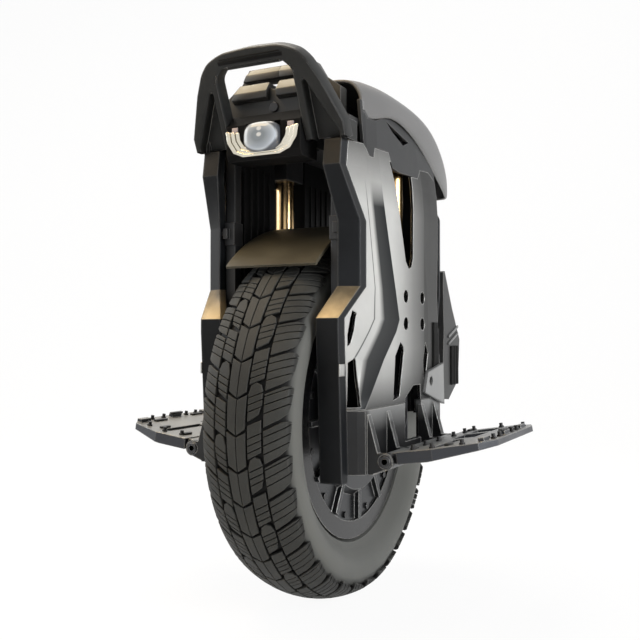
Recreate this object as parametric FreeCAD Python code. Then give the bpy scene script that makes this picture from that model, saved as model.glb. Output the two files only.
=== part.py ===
"""Electric unicycle: a sprung body with folding pedals around one hub-motor wheel.

Frame: +X forwards, +Y to the rider's left, +Z up, origin on the ground under the axle.
All sizes are in millimetres. Left-hand pieces are modelled and mirrored for the right.
"""
import FreeCAD, Part
import math
import os

from FreeCAD import Vector

# Tyre and rim
TYRE_RADIUS = 205.0
TYRE_WIDTH = 100.0
CROWN_DROP = 12.0
SHOULDER_INSET = 6.0
TREAD_WALL = 12.0
SIDEWALL = 6.0
LUG_COUNT = 36
GROOVE_DEPTH = 4.5
RING_GROOVE = 2.0
RING_SHARES = (0.232, 0.548)
LUG_SHARE = 1.04
TYRE_SECTION = 78.0
BEAD_SEAT = 8.0
RIM_WIDTH = 56.0
FLANGE_HEIGHT = 11.0
FLANGE_THICK = 5.0
WELL_DEPTH = 13.5
RIM_WALL = 7.5
REGISTER_DEPTH = 9.0

# Hub motor
MOTOR_WIDTH = 50.0
AXLE_RADIUS = 10.0
AXLE_CORE_RADIUS = 14.0
BEARING_RADIUS = 21.0
BEARING_WIDTH = 12.0
COVER_THICK = 5.0
COVER_BULGE = 7.0
COVER_RING = 30.0
COVER_RIBS = 12
RIB_WIDTH = 6.0
MAGNET_COUNT = 40
MAGNET_THICK = 5.5
MAGNET_SPAN = 0.85
AIR_GAP = 1.0
TOOTH_COUNT = 27
TOOTH_SHARE = 0.34
TIP_SHARE = 0.69
COIL_SHARE = 0.2
TOOTH_TIP = 4.0
TOOTH_LENGTH = 23.5
YOKE_THICK = 12.0
STACK_WIDTH = 36.0
SPOKE_WIDTH = 12.0
SPOKE_COUNT = 5
SCREW_COUNT = 12
SCREW_RADIUS = 2.0
SCREW_HEAD_RADIUS = 3.6
SCREW_HEAD = 2.5
SCREW_LENGTH = 8.0

# Suspension
TRAVEL = 85.0
FORK_X = -15.0
FORK_OFFSET = 14.0
STANCHION_RADIUS = 11.0
STANCHION_WALL = 2.5
LEG_RADIUS = 16.0
LEG_WALL = 3.5
BUMP_GAP = 18.0
LEG_DROP = 27.0
LUG_RADIUS = 24.0
LUG_WIDTH = 21.0
NUT_FLATS = 24.0
NUT_THICK = 8.0
NUT_ROOM = 4.5
BORE_FLOOR_THICK = 3.0
END_GAP = 4.0
BUSH_LENGTH = 18.0
WIPER_HEIGHT = 6.0
WIPER_STEP = 0.5
PISTON_ROD_RADIUS = 4.0
PISTON_LENGTH = 12.0
MUDGUARD_GAP = 8.0
MUDGUARD_THICK = 3.0
MUDGUARD_FRONT_DEG = 49.0
MUDGUARD_REAR_DEG = 148.0
MUDGUARD_EDGE = 3.0
EAR_THICK = 3.0
EAR_DROP = 60.0
CLAMP_HEIGHT = 28.0
CLAMP_WALL = 9.0
CLAMP_LIP = 2.0

# Body widths, each measured outwards
TYRE_GAP = 7.0
CASE_THICK = 25.0
CASE_WALL = 2.5
FLANK_OFFSET = 39.0
PANEL_WALL = 3.5
RIDGE_DEPTH = 6.0
COLUMN_THICK = 12.0
REAR_THICK = 10.0
REAR_SLOPE = 2.0
WEB_THICK = 6.5
PANEL_RISE = 17.0
BRACKET_DROP = 47.0

# Body heights and lengths
BRIDGE_GAP = 4.0
BRIDGE_THICK = 6.0
BRIDGE_FRONT = 126.0
BRIDGE_REAR = -150.0
CASE_FRONT = 98.0
CASE_BAY_FRONT = 34.0
CASE_BAY_REAR = -40.0
CASE_REAR = -112.0
CASE_BOTTOM = 3.0
PACK_GAP = 0.3
PACK_HEADROOM = 29.5
CASE_RIB = 1.5
CASE_RIBS = 4

# Pad holes, slots and screws of the side panels
PAD_HOLE_RADIUS = 7.0
PAD_SPACING_X = 51.0
PAD_SPACING_Z = 30.0
PAD_CENTRE_X = -17.0
PAD_HEIGHT = 119.0
BOSS_RADIUS = 6.0
BOSS_DROP = 99.0
BOSS_RISE = 36.0
REAR_BOSS_RISE = 165.0

# Pedals
PIVOT_OFFSET = 19.2
PIVOT_DROP = 33.1
PEDAL_TILT_DEG = 9.0
PEDAL_FRONT = 116.0
PEDAL_REAR = -104.0
PEDAL_REACH = 105.0
PEDAL_THICK = 12.0
PEDAL_TOP = 8.0
BARREL_RADIUS = 8.0
BARREL_GAP = 0.5
PIN_RADIUS = 5.0
PIN_HEAD = 3.0
PIN_STEP = 2.0
WINDOW_LIP = 4.0
BLOCK_HALF = 3.0
BLOCK_HEIGHT = 4.0
GUSSETS = (110.0, 60.0, -40.0, -80.0)
GUSSET_THICK = 8.0
GUSSET_RISE = 12.0
GROOVE_INSET = 12.0
SPIKE_RADIUS = 2.0
SPIKE_HEIGHT = 5.0

# Handle and its paddle
HANDLE_X = 136.0
HANDLE_RAKE_DEG = 24.5
HANDLE_REACH = 100.0
HANDLE_BAR = 16.0
HANDLE_DEPTH = 18.0
HANDLE_WEB = 4.0
HANDLE_HALF = 88.0
HANDLE_FOOT = 20.0
HANDLE_LEG = 6.6
HANDLE_CORNER = 10.5
SPLAY_DROP = 22.0
FOOT_REACH = 12.0
POST_WIDTH = 8.0
PADDLE_HALF = 30.0
PADDLE_INSET = 5.0
PADDLE_TRAVEL = 3.0

# Trolley
TROLLEY_X = 111.0
RAIL_OFFSET = 6.0
RAIL_LENGTH = 246.0
RAIL_DEPTH = 12.0
RAIL_WIDTH = 11.0
RAIL_WALL = 1.2
RAIL_CLIP_DROP = 105.0
GRIP_RISE = 68.0
GRIP_BAR = 14.0
GRIP_SHOULDER = 30.0
GRIP_CORNER = 24.0
GRIP_BEND = 9.0

# Control housing and its parts
CONSOLE_GAP = 4.0
CONSOLE_DEPTH = 23.0
CONSOLE_CORNER = 14.0
CONSOLE_SLOPE = 12.0
CONSOLE_DROP = 6.0
TRAY_REAR = -80.0
TRAY_HEIGHT = 24.0
TRAY_WALL = 3.0
NOTCH_RADIUS = 8.0
BUTTON_RADIUS = 5.0
BUTTON_TRAVEL = 2.0
BUTTON_LENGTH = 8.0
BUTTON_HEIGHT = 15.0
BOARD_THICK = 2.0
BANK_COUNT = 5
BANK_LENGTH = 14.0
BANK_HEIGHT = 10.0
SINK_LENGTH = 27.0
SINK_HEIGHT = 20.0
FIN_PITCH = 6.0
FIN_THICK = 2.0

# Headlamp
LAMP_FRONT = 155.0
LAMP_REAR = 120.0
LAMP_HALF = 43.0
LAMP_DROP = 36.0
LAMP_HUMP = 12.0
LAMP_WALL = 4.0
LENS_HALF = 20.0
LENS_HEIGHT = 30.0
LENS_DROP = 14.5
LENS_RISE = 7.0
LENS_ROUND = 6.0
BEZEL_BAND = 4.0
BEZEL_RISE = 20.0

# Top cover and tail
SEAT_WALL = 3.0
SEAT_GAP = 0.4
SEAT_RIB = 6.0
TAIL_REAR = -203.0
TAIL_DROP = 30.0
TAIL_DEPTH = 26.0
TAIL_HALF = 46.0
TAIL_LAMP_HALF = 30.0
TAIL_LAMP_HEIGHT = 9.0
SOCKET_X = -168.0
SOCKET_DROP = 11.0
SOCKET_RADIUS = 9.0
SOCKET_DEPTH = 12.0
CAP_RADIUS = 12.0
CAP_THICK = 3.0
CAP_TAB = 4.0

# Clearances
RUN_FIT = 0.04
SEAT_FIT = 0.02
SEAM = 0.4
SKIP = 1.0

# Places that follow from the sizes above
AXLE_Z = TYRE_RADIUS
LINER_Y = TYRE_WIDTH / 2 + TYRE_GAP
FORK_Y = LINER_Y + FORK_OFFSET
CASE_OUT_Y = LINER_Y + CASE_THICK
FLANK_Y = LINER_Y + FLANK_OFFSET
BEAD_RADIUS = TYRE_RADIUS - TYRE_SECTION
RIM_BORE = BEAD_RADIUS - WELL_DEPTH - RIM_WALL
REGISTER_RADIUS = BEAD_RADIUS - REGISTER_DEPTH
FLANGE_RADIUS = BEAD_RADIUS + FLANGE_HEIGHT
COVER_DRUM_RADIUS = REGISTER_RADIUS - COVER_RING
SEAT_Y = MOTOR_WIDTH / 2
HUB_END_Y = SEAT_Y + COVER_THICK + BEARING_WIDTH + SKIP
STATOR_RADIUS = RIM_BORE - MAGNET_THICK - AIR_GAP
YOKE_RADIUS = STATOR_RADIUS - TOOTH_LENGTH
TOOTH_PITCH = 2 * math.pi * YOKE_RADIUS / TOOTH_COUNT
TOOTH_WIDTH = TOOTH_PITCH * TOOTH_SHARE
COIL_WALL = TOOTH_PITCH * COIL_SHARE
TOOTH_TIP_WIDTH = 2 * math.pi * STATOR_RADIUS / TOOTH_COUNT * TIP_SHARE
NUT_POCKET = NUT_FLATS / 2 + NUT_ROOM
LUG_OUT_Y = LINER_Y + LUG_WIDTH
BORE_FLOOR = AXLE_Z + NUT_POCKET + BORE_FLOOR_THICK
STANCHION_BOTTOM = BORE_FLOOR + TRAVEL + END_GAP
MUDGUARD_RADIUS = TYRE_RADIUS + MUDGUARD_GAP
BRIDGE_Z = AXLE_Z + MUDGUARD_RADIUS + MUDGUARD_THICK + TRAVEL + BRIDGE_GAP
LEG_TOP = BRIDGE_Z - CLAMP_HEIGHT - TRAVEL - WIPER_HEIGHT - BUMP_GAP
DECK_Z = BRIDGE_Z + BRIDGE_THICK
PANEL_BOTTOM = AXLE_Z + PANEL_RISE
BRACKET_LOW = AXLE_Z - BRACKET_DROP
PIVOT_Y = FLANK_Y + PIVOT_OFFSET
PIVOT_Z = AXLE_Z - PIVOT_DROP
RAIL_Y = LINER_Y + RAIL_OFFSET
FOOT_Z = BRIDGE_Z - HANDLE_FOOT
HANDLE_TOP = FOOT_Z + HANDLE_REACH
GRIP_TOP = BRIDGE_Z + GRIP_RISE
GRIP_LOW = GRIP_TOP - GRIP_BAR


def box(x0, x1, y0, y1, z0, z1):
    """Block between two corners."""
    return Part.makeBox(x1 - x0, y1 - y0, z1 - z0, Vector(x0, y0, z0))


def rod(radius, start, axis, length):
    """Round bar from a start point along an axis."""
    return Part.makeCylinder(radius, length, Vector(*start), Vector(*axis))


def face_of(points):
    """Flat face inside a closed outline."""
    return Part.Face(Part.makePolygon(points + [points[0]]))


def prism_xz(outline, y0, y1):
    """Side-view outline carried across from y0 to y1."""
    face = face_of([Vector(x, y0, z) for x, z in outline])
    return face.extrude(Vector(0, y1 - y0, 0))


def prism_yz(outline, x0, x1):
    """Front-view outline carried along from x0 to x1."""
    face = face_of([Vector(x0, y, z) for y, z in outline])
    return face.extrude(Vector(x1 - x0, 0, 0))


def prism_xy(outline, z0, z1):
    """Plan-view outline carried up from z0 to z1."""
    face = face_of([Vector(x, y, z0) for x, y in outline])
    return face.extrude(Vector(0, 0, z1 - z0))


def loft(sections):
    """Solid with straight walls through closed outlines."""
    wires = [Part.makePolygon(points + [points[0]]) for points in sections]
    return Part.makeLoft(wires, True, True)


def fuse(shapes):
    """One solid from touching shapes."""
    return shapes[0].fuse(shapes[1:]).removeSplitter()


def group(shapes):
    """Like pieces that share one node."""
    return Part.makeCompound(shapes)


def mirrored(shape):
    """The same piece on the right-hand side."""
    return shape.mirror(Vector(0, 0, 0), Vector(0, 1, 0))


def both_sides(shape):
    """A left piece with its right-hand twin."""
    return group([shape, mirrored(shape)])


def spun(edges):
    """Wheel part from half-section edges in the axle's plane, turned about the axle."""
    face = Part.Face(Part.Wire(edges))
    return face.revolve(Vector(0, 0, AXLE_Z), Vector(0, 1, 0), 360)


def wheel_point(y, radius):
    """Point above the axle at a sideways place and a radius."""
    return Vector(0, y, AXLE_Z + radius)


def wheel_edges(profile):
    """Closed straight edges through (y, radius) points."""
    points = [wheel_point(y, radius) for y, radius in profile]
    return [Part.makeLine(a, b) for a, b in zip(points, points[1:] + points[:1])]


def turned(shape, degrees):
    """Copy of a wheel part, turned about the axle."""
    copy = shape.copy()
    copy.rotate(Vector(0, 0, AXLE_Z), Vector(0, 1, 0), degrees)
    return copy


def around(shape, count, start=0.0):
    """Evenly spaced copies about the axle."""
    return [turned(shape, start + i * 360.0 / count) for i in range(count)]


def crown_arc():
    """Radius of the crown's arc across the tread."""
    half = TYRE_WIDTH / 2 - SHOULDER_INSET
    return (half ** 2 + CROWN_DROP ** 2) / (2 * CROWN_DROP)


def ring_grooves():
    """Grooves round the tread that part its ribs."""
    arc = crown_arc()
    rings = []
    for share in RING_SHARES:
        y = share * TYRE_WIDTH / 2
        floor = TYRE_RADIUS - arc + math.sqrt(arc ** 2 - y ** 2) - GROOVE_DEPTH
        low = y - RING_GROOVE / 2
        high = y + RING_GROOVE / 2
        ring = spun(wheel_edges([(low, floor), (high, floor), (high, TYRE_RADIUS), (low, TYRE_RADIUS)]))
        rings += [ring, mirrored(ring)]
    return rings


def tread_groove(inner, outer, width, slant):
    """Slanted groove across one rib, at the top of the wheel."""
    arc = crown_arc()
    middle = (inner + outer) / 2
    reach = (outer - inner) / 2 / math.cos(math.radians(slant))
    high = AXLE_Z + TYRE_RADIUS
    block = box(-width / 2, width / 2, -reach, reach, high - GROOVE_DEPTH, high + SKIP)
    block.rotate(Vector(0, 0, 0), Vector(0, 0, 1), slant)
    block.rotate(Vector(0, 0, high - arc), Vector(1, 0, 0), -math.degrees(math.asin(middle / arc)))
    return block


def tread_grooves():
    """Grooves between the arrow, pad and shoulder blocks of both sides."""
    half = TYRE_WIDTH / 2
    grooves = []
    for inner, outer, width, slant, left_turn, right_turn in TREAD_GROOVES:
        groove = tread_groove(inner * half, outer * half, width, slant)
        grooves += around(groove, LUG_COUNT, left_turn) + around(mirrored(groove), LUG_COUNT, right_turn)
    return grooves


def tyre():
    """Tubeless tyre: round crown with a grooved tread, bulged walls, beads inside the flanges."""
    half = TYRE_WIDTH / 2
    bead_y = RIM_WIDTH / 2 - SEAM
    bead_r = BEAD_RADIUS + SEAM
    toe_y = bead_y - SIDEWALL
    shoulder = (half - SHOULDER_INSET, TYRE_RADIUS - CROWN_DROP)
    bulge = (half, (BEAD_RADIUS + TYRE_RADIUS) / 2 + SIDEWALL)
    foot = (half - SIDEWALL, FLANGE_RADIUS + FLANGE_HEIGHT + SIDEWALL)
    lip = (RIM_WIDTH / 2 + FLANGE_THICK + SKIP, FLANGE_RADIUS + 3 * SKIP)
    corner = (bead_y, FLANGE_RADIUS + SKIP)
    in_shoulder = (shoulder[0] - SIDEWALL, shoulder[1] - TREAD_WALL)
    in_bulge = (bulge[0] - SIDEWALL, bulge[1] - SKIP)
    in_foot = (foot[0] - SIDEWALL, foot[1] + SKIP)
    in_corner = (toe_y, FLANGE_RADIUS)

    def arc(a, b, c):
        return Part.Arc(wheel_point(*a), wheel_point(*b), wheel_point(*c)).toShape()

    def line(a, b):
        return Part.makeLine(wheel_point(*a), wheel_point(*b))

    def left(p):
        return (-p[0], p[1])

    edges = [arc(left(shoulder), (0, TYRE_RADIUS), shoulder), arc(shoulder, bulge, foot)]
    down = [foot, lip, corner, (bead_y, bead_r), (toe_y, bead_r), in_corner, in_foot]
    edges += [line(a, b) for a, b in zip(down, down[1:])]
    edges += [arc(in_foot, in_bulge, in_shoulder)]
    edges += [arc(in_shoulder, (0, TYRE_RADIUS - TREAD_WALL), left(in_shoulder))]
    edges += [arc(left(in_shoulder), left(in_bulge), left(in_foot))]
    up = [left(p) for p in reversed(down)]
    edges += [line(a, b) for a, b in zip(up, up[1:])]
    edges += [arc(left(foot), left(bulge), left(shoulder))]
    return spun(edges).cut(ring_grooves()).cut(tread_grooves())


def cover_screw(radius_place):
    """Button-head screw on the left cover, standing above the axle."""
    seat = SEAT_Y + COVER_THICK
    start = (0, seat - SCREW_LENGTH - COVER_THICK, AXLE_Z + radius_place)
    shank = rod(SCREW_RADIUS, start, (0, 1, 0), SCREW_LENGTH + COVER_THICK)
    head = rod(SCREW_HEAD_RADIUS, (0, seat, AXLE_Z + radius_place), (0, 1, 0), SCREW_HEAD)
    return fuse([shank, head])


def screw_circle():
    """Radius of the screws that hold the covers in the rim's register."""
    return (RIM_BORE + REGISTER_RADIUS) / 2


def screw_holes():
    """Clearance holes for the cover screws on the left side."""
    depth = SCREW_LENGTH + 2 * COVER_THICK
    start = (0, SEAT_Y - SCREW_LENGTH - SEAM, AXLE_Z + screw_circle())
    hole = rod(SCREW_RADIUS + RUN_FIT, start, (0, 1, 0), depth)
    return around(hole, SCREW_COUNT, 360.0 / COVER_RIBS / 2)


def cover_screws():
    """All cover screws of both sides."""
    left = around(cover_screw(screw_circle()), SCREW_COUNT, 360.0 / COVER_RIBS / 2)
    return group(left + [mirrored(screw) for screw in left])


def rim():
    """Cast rim: two flanges, bead seats, a dropped well and a register for each motor cover."""
    flange_in = RIM_WIDTH / 2
    flange_out = flange_in + FLANGE_THICK
    well_r = BEAD_RADIUS - WELL_DEPTH
    well_y = flange_in - BEAD_SEAT
    side = [(SEAT_Y, RIM_BORE), (SEAT_Y, REGISTER_RADIUS), (flange_out, REGISTER_RADIUS),
            (flange_out, FLANGE_RADIUS), (flange_in, FLANGE_RADIUS), (flange_in, BEAD_RADIUS),
            (well_y, BEAD_RADIUS), (well_y - FLANGE_THICK, well_r)]
    profile = side + [(-y, radius) for y, radius in reversed(side)]
    body = spun(wheel_edges(profile))
    holes = screw_holes()
    return body.cut(holes + [mirrored(hole) for hole in holes])


def motor_cover():
    """Left motor cover: bearing hub, domed drum and a ribbed outer ring."""
    face_y = SEAT_Y + COVER_THICK
    dome_y = face_y + COVER_BULGE
    hub_r = BEARING_RADIUS + 2 * COVER_THICK
    lip_r = AXLE_CORE_RADIUS + 2 * SKIP
    bearing_y = HUB_END_Y - BEARING_WIDTH
    inner_y = SEAT_Y + 2 * SKIP
    register = REGISTER_RADIUS - SEAT_FIT
    profile = [(SEAT_Y, register), (face_y, register), (face_y, COVER_DRUM_RADIUS + SKIP),
               (dome_y, COVER_DRUM_RADIUS - COVER_THICK), (dome_y, hub_r + SKIP), (HUB_END_Y, hub_r - SKIP),
               (HUB_END_Y, BEARING_RADIUS + SEAT_FIT), (bearing_y, BEARING_RADIUS + SEAT_FIT),
               (bearing_y, lip_r), (inner_y, lip_r), (inner_y, COVER_DRUM_RADIUS - COVER_THICK),
               (SEAT_Y, COVER_DRUM_RADIUS)]
    rib = box(-RIB_WIDTH / 2, RIB_WIDTH / 2, face_y - SKIP, dome_y - SKIP,
              AXLE_Z + COVER_DRUM_RADIUS - COVER_THICK, AXLE_Z + register - SKIP)
    body = fuse([spun(wheel_edges(profile))] + around(rib, COVER_RIBS))
    return body.cut(screw_holes())


def ring_y(inner, outer, y0, y1):
    """Plain ring about the axle line."""
    tube = rod(outer, (0, y0, AXLE_Z), (0, 1, 0), y1 - y0)
    return tube.cut(rod(inner, (0, y0 - SKIP, AXLE_Z), (0, 1, 0), y1 - y0 + 2 * SKIP))


def wheel_bearings():
    """Ball bearing in each cover hub, running on the fixed axle."""
    return both_sides(ring_y(AXLE_RADIUS + RUN_FIT, BEARING_RADIUS, HUB_END_Y - BEARING_WIDTH, HUB_END_Y))


def rotor_magnets():
    """Magnets bonded round the inside of the rim."""
    outer = RIM_BORE - SEAT_FIT
    half = STACK_WIDTH / 2
    ring = ring_y(outer - MAGNET_THICK, outer, -half, half)
    slab = math.pi * outer / MAGNET_COUNT * MAGNET_SPAN
    wedge = box(-slab, slab, -half - SKIP, half + SKIP, AXLE_Z, AXLE_Z + RIM_BORE + SKIP)
    magnet = ring.common(wedge)
    return group(around(magnet, MAGNET_COUNT))


def stator_core():
    """Laminated stack: hub, spokes, yoke and wound teeth."""
    half = STACK_WIDTH / 2
    yoke_in = YOKE_RADIUS - YOKE_THICK
    hub = ring_y(AXLE_CORE_RADIUS + SEAT_FIT, AXLE_CORE_RADIUS + YOKE_THICK, -half, half)
    yoke = ring_y(yoke_in, YOKE_RADIUS, -half, half)
    spoke = box(-SPOKE_WIDTH / 2, SPOKE_WIDTH / 2, -half, half,
                AXLE_Z + AXLE_CORE_RADIUS + YOKE_THICK / 2, AXLE_Z + yoke_in + YOKE_THICK / 2)
    tip_floor = STATOR_RADIUS - TOOTH_TIP
    tooth = box(-TOOTH_WIDTH / 2, TOOTH_WIDTH / 2, -half, half,
                AXLE_Z + YOKE_RADIUS - YOKE_THICK / 2, AXLE_Z + tip_floor + SKIP)
    band = ring_y(tip_floor, STATOR_RADIUS, -half, half)
    tip = band.common(box(-TOOTH_TIP_WIDTH / 2, TOOTH_TIP_WIDTH / 2, -half, half,
                          AXLE_Z + TOOTH_TIP, AXLE_Z + STATOR_RADIUS + SKIP))
    arms = around(spoke, SPOKE_COUNT) + around(tooth, TOOTH_COUNT) + around(tip, TOOTH_COUNT)
    return fuse([hub, yoke] + arms)


def stator_coils():
    """One copper coil round each tooth."""
    half = STACK_WIDTH / 2
    hole = TOOTH_WIDTH / 2 + SEAT_FIT
    low = AXLE_Z + YOKE_RADIUS + SKIP
    high = AXLE_Z + STATOR_RADIUS - TOOTH_TIP - SKIP
    block = box(-hole - COIL_WALL, hole + COIL_WALL, -half - COIL_WALL, half + COIL_WALL, low, high)
    core = box(-hole, hole, -half - SEAT_FIT, half + SEAT_FIT, low - SKIP, high + SKIP)
    return group(around(block.cut(core), TOOTH_COUNT))


def axle():
    """Fixed axle: thick middle for the stator, thinner ends for bearings, legs and nuts."""
    core_y = HUB_END_Y - BEARING_WIDTH - SKIP
    end_y = LUG_OUT_Y + NUT_THICK + SKIP
    middle = rod(AXLE_CORE_RADIUS, (0, -core_y, AXLE_Z), (0, 1, 0), 2 * core_y)
    shaft = rod(AXLE_RADIUS, (0, -end_y, AXLE_Z), (0, 1, 0), 2 * end_y)
    return fuse([middle, shaft])


def axle_nuts():
    """Hexagon nut outside each fork lug."""
    radius = NUT_FLATS / math.sqrt(3)
    corners = [math.radians(60 * i) for i in range(6)]
    outline = [(radius * math.cos(a), AXLE_Z + radius * math.sin(a)) for a in corners]
    nut = prism_xz(outline, LUG_OUT_Y, LUG_OUT_Y + NUT_THICK)
    bore = rod(AXLE_RADIUS + SEAT_FIT, (0, 0, AXLE_Z), (0, 1, 0), 2 * LUG_OUT_Y)
    return both_sides(nut.cut(bore))


def leg_bore():
    """Radius of the leg's bore, which holds the bushes."""
    return LEG_RADIUS - LEG_WALL


def fork_leg():
    """Left lower leg: tube for the stanchion, axle lug at its foot, pad for the mudguard ear."""
    foot = AXLE_Z - LEG_DROP
    tube = rod(LEG_RADIUS, (FORK_X, FORK_Y, foot), (0, 0, 1), LEG_TOP - foot)
    lug = rod(LUG_RADIUS, (0, LINER_Y, AXLE_Z), (0, 1, 0), LUG_WIDTH)
    neck = rod(AXLE_CORE_RADIUS + SKIP, (0, HUB_END_Y + SKIP, AXLE_Z), (0, 1, 0), LINER_Y - HUB_END_Y)
    ear_y = ear_face()
    pad_z = LEG_TOP - EAR_DROP / 2
    pad = box(FORK_X - leg_bore() / 2, FORK_X + leg_bore() / 2, ear_y, FORK_Y - leg_bore() - SKIP,
              pad_z, pad_z + EAR_DROP / 3)
    body = fuse([tube, lug, neck, pad])
    bore = rod(leg_bore(), (FORK_X, FORK_Y, BORE_FLOOR), (0, 0, 1), LEG_TOP)
    axle_hole = rod(AXLE_RADIUS + SEAT_FIT, (0, 0, AXLE_Z), (0, 1, 0), 2 * LUG_OUT_Y)
    pocket = rod(NUT_POCKET, (0, LUG_OUT_Y, AXLE_Z), (0, 1, 0), LEG_RADIUS * 2)
    return body.cut([bore, axle_hole, pocket])


def sleeve(inner, outer, z0, z1):
    """Ring about the left stanchion line."""
    tube = rod(outer, (FORK_X, FORK_Y, z0), (0, 0, 1), z1 - z0)
    return tube.cut(rod(inner, (FORK_X, FORK_Y, z0 - SKIP), (0, 0, 1), z1 - z0 + 2 * SKIP))


def fork_bushes():
    """Two slide bushes in each leg."""
    rings = []
    for top in (LEG_TOP - WIPER_HEIGHT, LEG_TOP - 2 * WIPER_HEIGHT - BUSH_LENGTH):
        rings.append(sleeve(STANCHION_RADIUS + RUN_FIT, leg_bore() - SEAT_FIT, top - BUSH_LENGTH, top))
    return group(rings + [mirrored(ring) for ring in rings])


def fork_wipers():
    """Dust seal on the top of each leg."""
    inner = STANCHION_RADIUS + SEAM
    return both_sides(sleeve(inner, LEG_RADIUS - WIPER_STEP, LEG_TOP, LEG_TOP + WIPER_HEIGHT))


def air_pistons():
    """Rod and piston of each air spring, standing on the leg's floor."""
    piston_z = STANCHION_BOTTOM + PISTON_LENGTH
    start = (FORK_X, FORK_Y, BORE_FLOOR)
    stem = rod(PISTON_ROD_RADIUS, start, (0, 0, 1), piston_z - BORE_FLOOR + SKIP)
    bore = STANCHION_RADIUS - STANCHION_WALL
    head = rod(bore - RUN_FIT, (FORK_X, FORK_Y, piston_z), (0, 0, 1), PISTON_LENGTH)
    return both_sides(fuse([stem, head]))


def stanchion():
    """Left gold tube: open below, plugged on top, held by the clamp."""
    tube = rod(STANCHION_RADIUS, (FORK_X, FORK_Y, STANCHION_BOTTOM), (0, 0, 1), BRIDGE_Z - STANCHION_BOTTOM)
    bore = rod(STANCHION_RADIUS - STANCHION_WALL, (FORK_X, FORK_Y, STANCHION_BOTTOM - SKIP), (0, 0, 1),
               BRIDGE_Z - STANCHION_BOTTOM - 2 * STANCHION_WALL)
    return tube.cut(bore)


def stanchion_clamps():
    """Block under the bridge that grips each stanchion."""
    half = STANCHION_RADIUS + CLAMP_WALL
    low = BRIDGE_Z - CLAMP_HEIGHT
    block = box(FORK_X - half, FORK_X + half, LINER_Y, FORK_Y + STANCHION_RADIUS + CLAMP_LIP, low, BRIDGE_Z)
    bore = rod(STANCHION_RADIUS + SEAT_FIT, (FORK_X, FORK_Y, low - SKIP), (0, 0, 1), CLAMP_HEIGHT + 2 * SKIP)
    return both_sides(block.cut(bore)).cut(bridge_screw_holes())


def ear_face():
    """Sideways place where the mudguard's ear meets the leg's pad."""
    return TYRE_WIDTH / 2 + EAR_THICK + 2 * SKIP


def mudguard():
    """Curved guard over the tyre, with an ear down to each leg."""
    half = TYRE_WIDTH / 2 + MUDGUARD_EDGE
    outer = MUDGUARD_RADIUS + MUDGUARD_THICK
    band = ring_y(MUDGUARD_RADIUS, outer, -half, half)
    far = 2 * outer
    front = math.radians(MUDGUARD_FRONT_DEG)
    rear = math.radians(MUDGUARD_REAR_DEG)
    rays = [(far * math.cos(angle), AXLE_Z + far * math.sin(angle)) for angle in (front, rear)]
    sector = prism_xz([(0, AXLE_Z), rays[0], (0, AXLE_Z + far), rays[1]], -half - SKIP, half + SKIP)
    arch = band.common(sector)
    ear_y = ear_face()
    reach = leg_bore()
    crown = AXLE_Z + math.sqrt(MUDGUARD_RADIUS ** 2 - (abs(FORK_X) + reach) ** 2)
    ear = box(FORK_X - reach, FORK_X + reach, ear_y - EAR_THICK, ear_y, LEG_TOP - EAR_DROP / 2,
              crown + MUDGUARD_THICK)
    return fuse([arch, ear, mirrored(ear)])


# Front column at each bend: height, front inner x, inner step out, front outer x, outer step out
COLUMN_LEVELS = (
    (AXLE_Z - 55, 138.0, 0.0, 138.0, 24.0),
    (AXLE_Z + 95, 147.0, 0.0, 147.0, 24.5),
    (AXLE_Z + 108, 147.0, 0.0, 147.0, 24.5),
    (AXLE_Z + 140, 128.0, 14.0, 116.0, 34.0),
    (BRIDGE_Z - 99, 128.0, 14.0, 116.0, 34.0),
    (BRIDGE_Z - 46, 144.0, 6.0, 144.0, 25.0),
    (FOOT_Z, 140.0, 6.0, 140.0, 25.0),
)
COLUMN_IN_Y = LINER_Y - SKIP
COLUMN_WAIST = COLUMN_LEVELS[3]

# Rear column at each bend: height, step back, inset of the outer edge from the flank
REAR_LEVELS = (
    (AXLE_Z - 5, 2.0, 14.0),
    (AXLE_Z + 95, 12.0, 14.0),
    (AXLE_Z + 140, 10.0, 10.0),
    (BRIDGE_Z - 70, 10.0, 10.0),
    (BRIDGE_Z - 36, 4.0, 26.0),
    (BRIDGE_Z, 4.0, 26.0),
)
REAR_X = CASE_REAR - SEAM - REAR_THICK
REAR_CHAMFER = 6.0

# Side shell at each bend: height, ridge front x, ridge rear x, flat end x, rear edge x, lean, ridge depth
SHELL_LEVELS = (
    (BRACKET_LOW, 122.0, 117.0, -60.0, -108.0, 0.0, RIDGE_DEPTH),
    (PANEL_BOTTOM, 124.0, 118.0, -60.0, -108.0, 0.0, RIDGE_DEPTH),
    (AXLE_Z + 66, 112.0, 70.0, -62.0, -106.0, 0.0, RIDGE_DEPTH),
    (AXLE_Z + 95, 79.0, 36.0, -62.0, -102.0, 0.0, RIDGE_DEPTH),
    (AXLE_Z + 108, 67.0, 27.0, -62.0, -100.0, 0.0, RIDGE_DEPTH),
    (AXLE_Z + 140, 70.0, 38.0, -58.0, -98.0, 0.0, RIDGE_DEPTH),
    (BRIDGE_Z - 99, 86.0, 62.0, -46.0, -101.0, 0.0, RIDGE_DEPTH),
    (BRIDGE_Z - 70, 93.0, 72.0, -44.0, -101.0, 0.0, RIDGE_DEPTH),
    (BRIDGE_Z - 46, 100.0, 76.0, -42.0, -101.0, 1.5, RIDGE_DEPTH / 2),
    (FOOT_Z, 100.0, 76.0, -41.0, -101.0, 5.0, RIDGE_DEPTH / 4),
    (BRIDGE_Z + 26, 95.0, 70.0, -41.0, -101.0, 10.0, RIDGE_DEPTH / 6),
)

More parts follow.
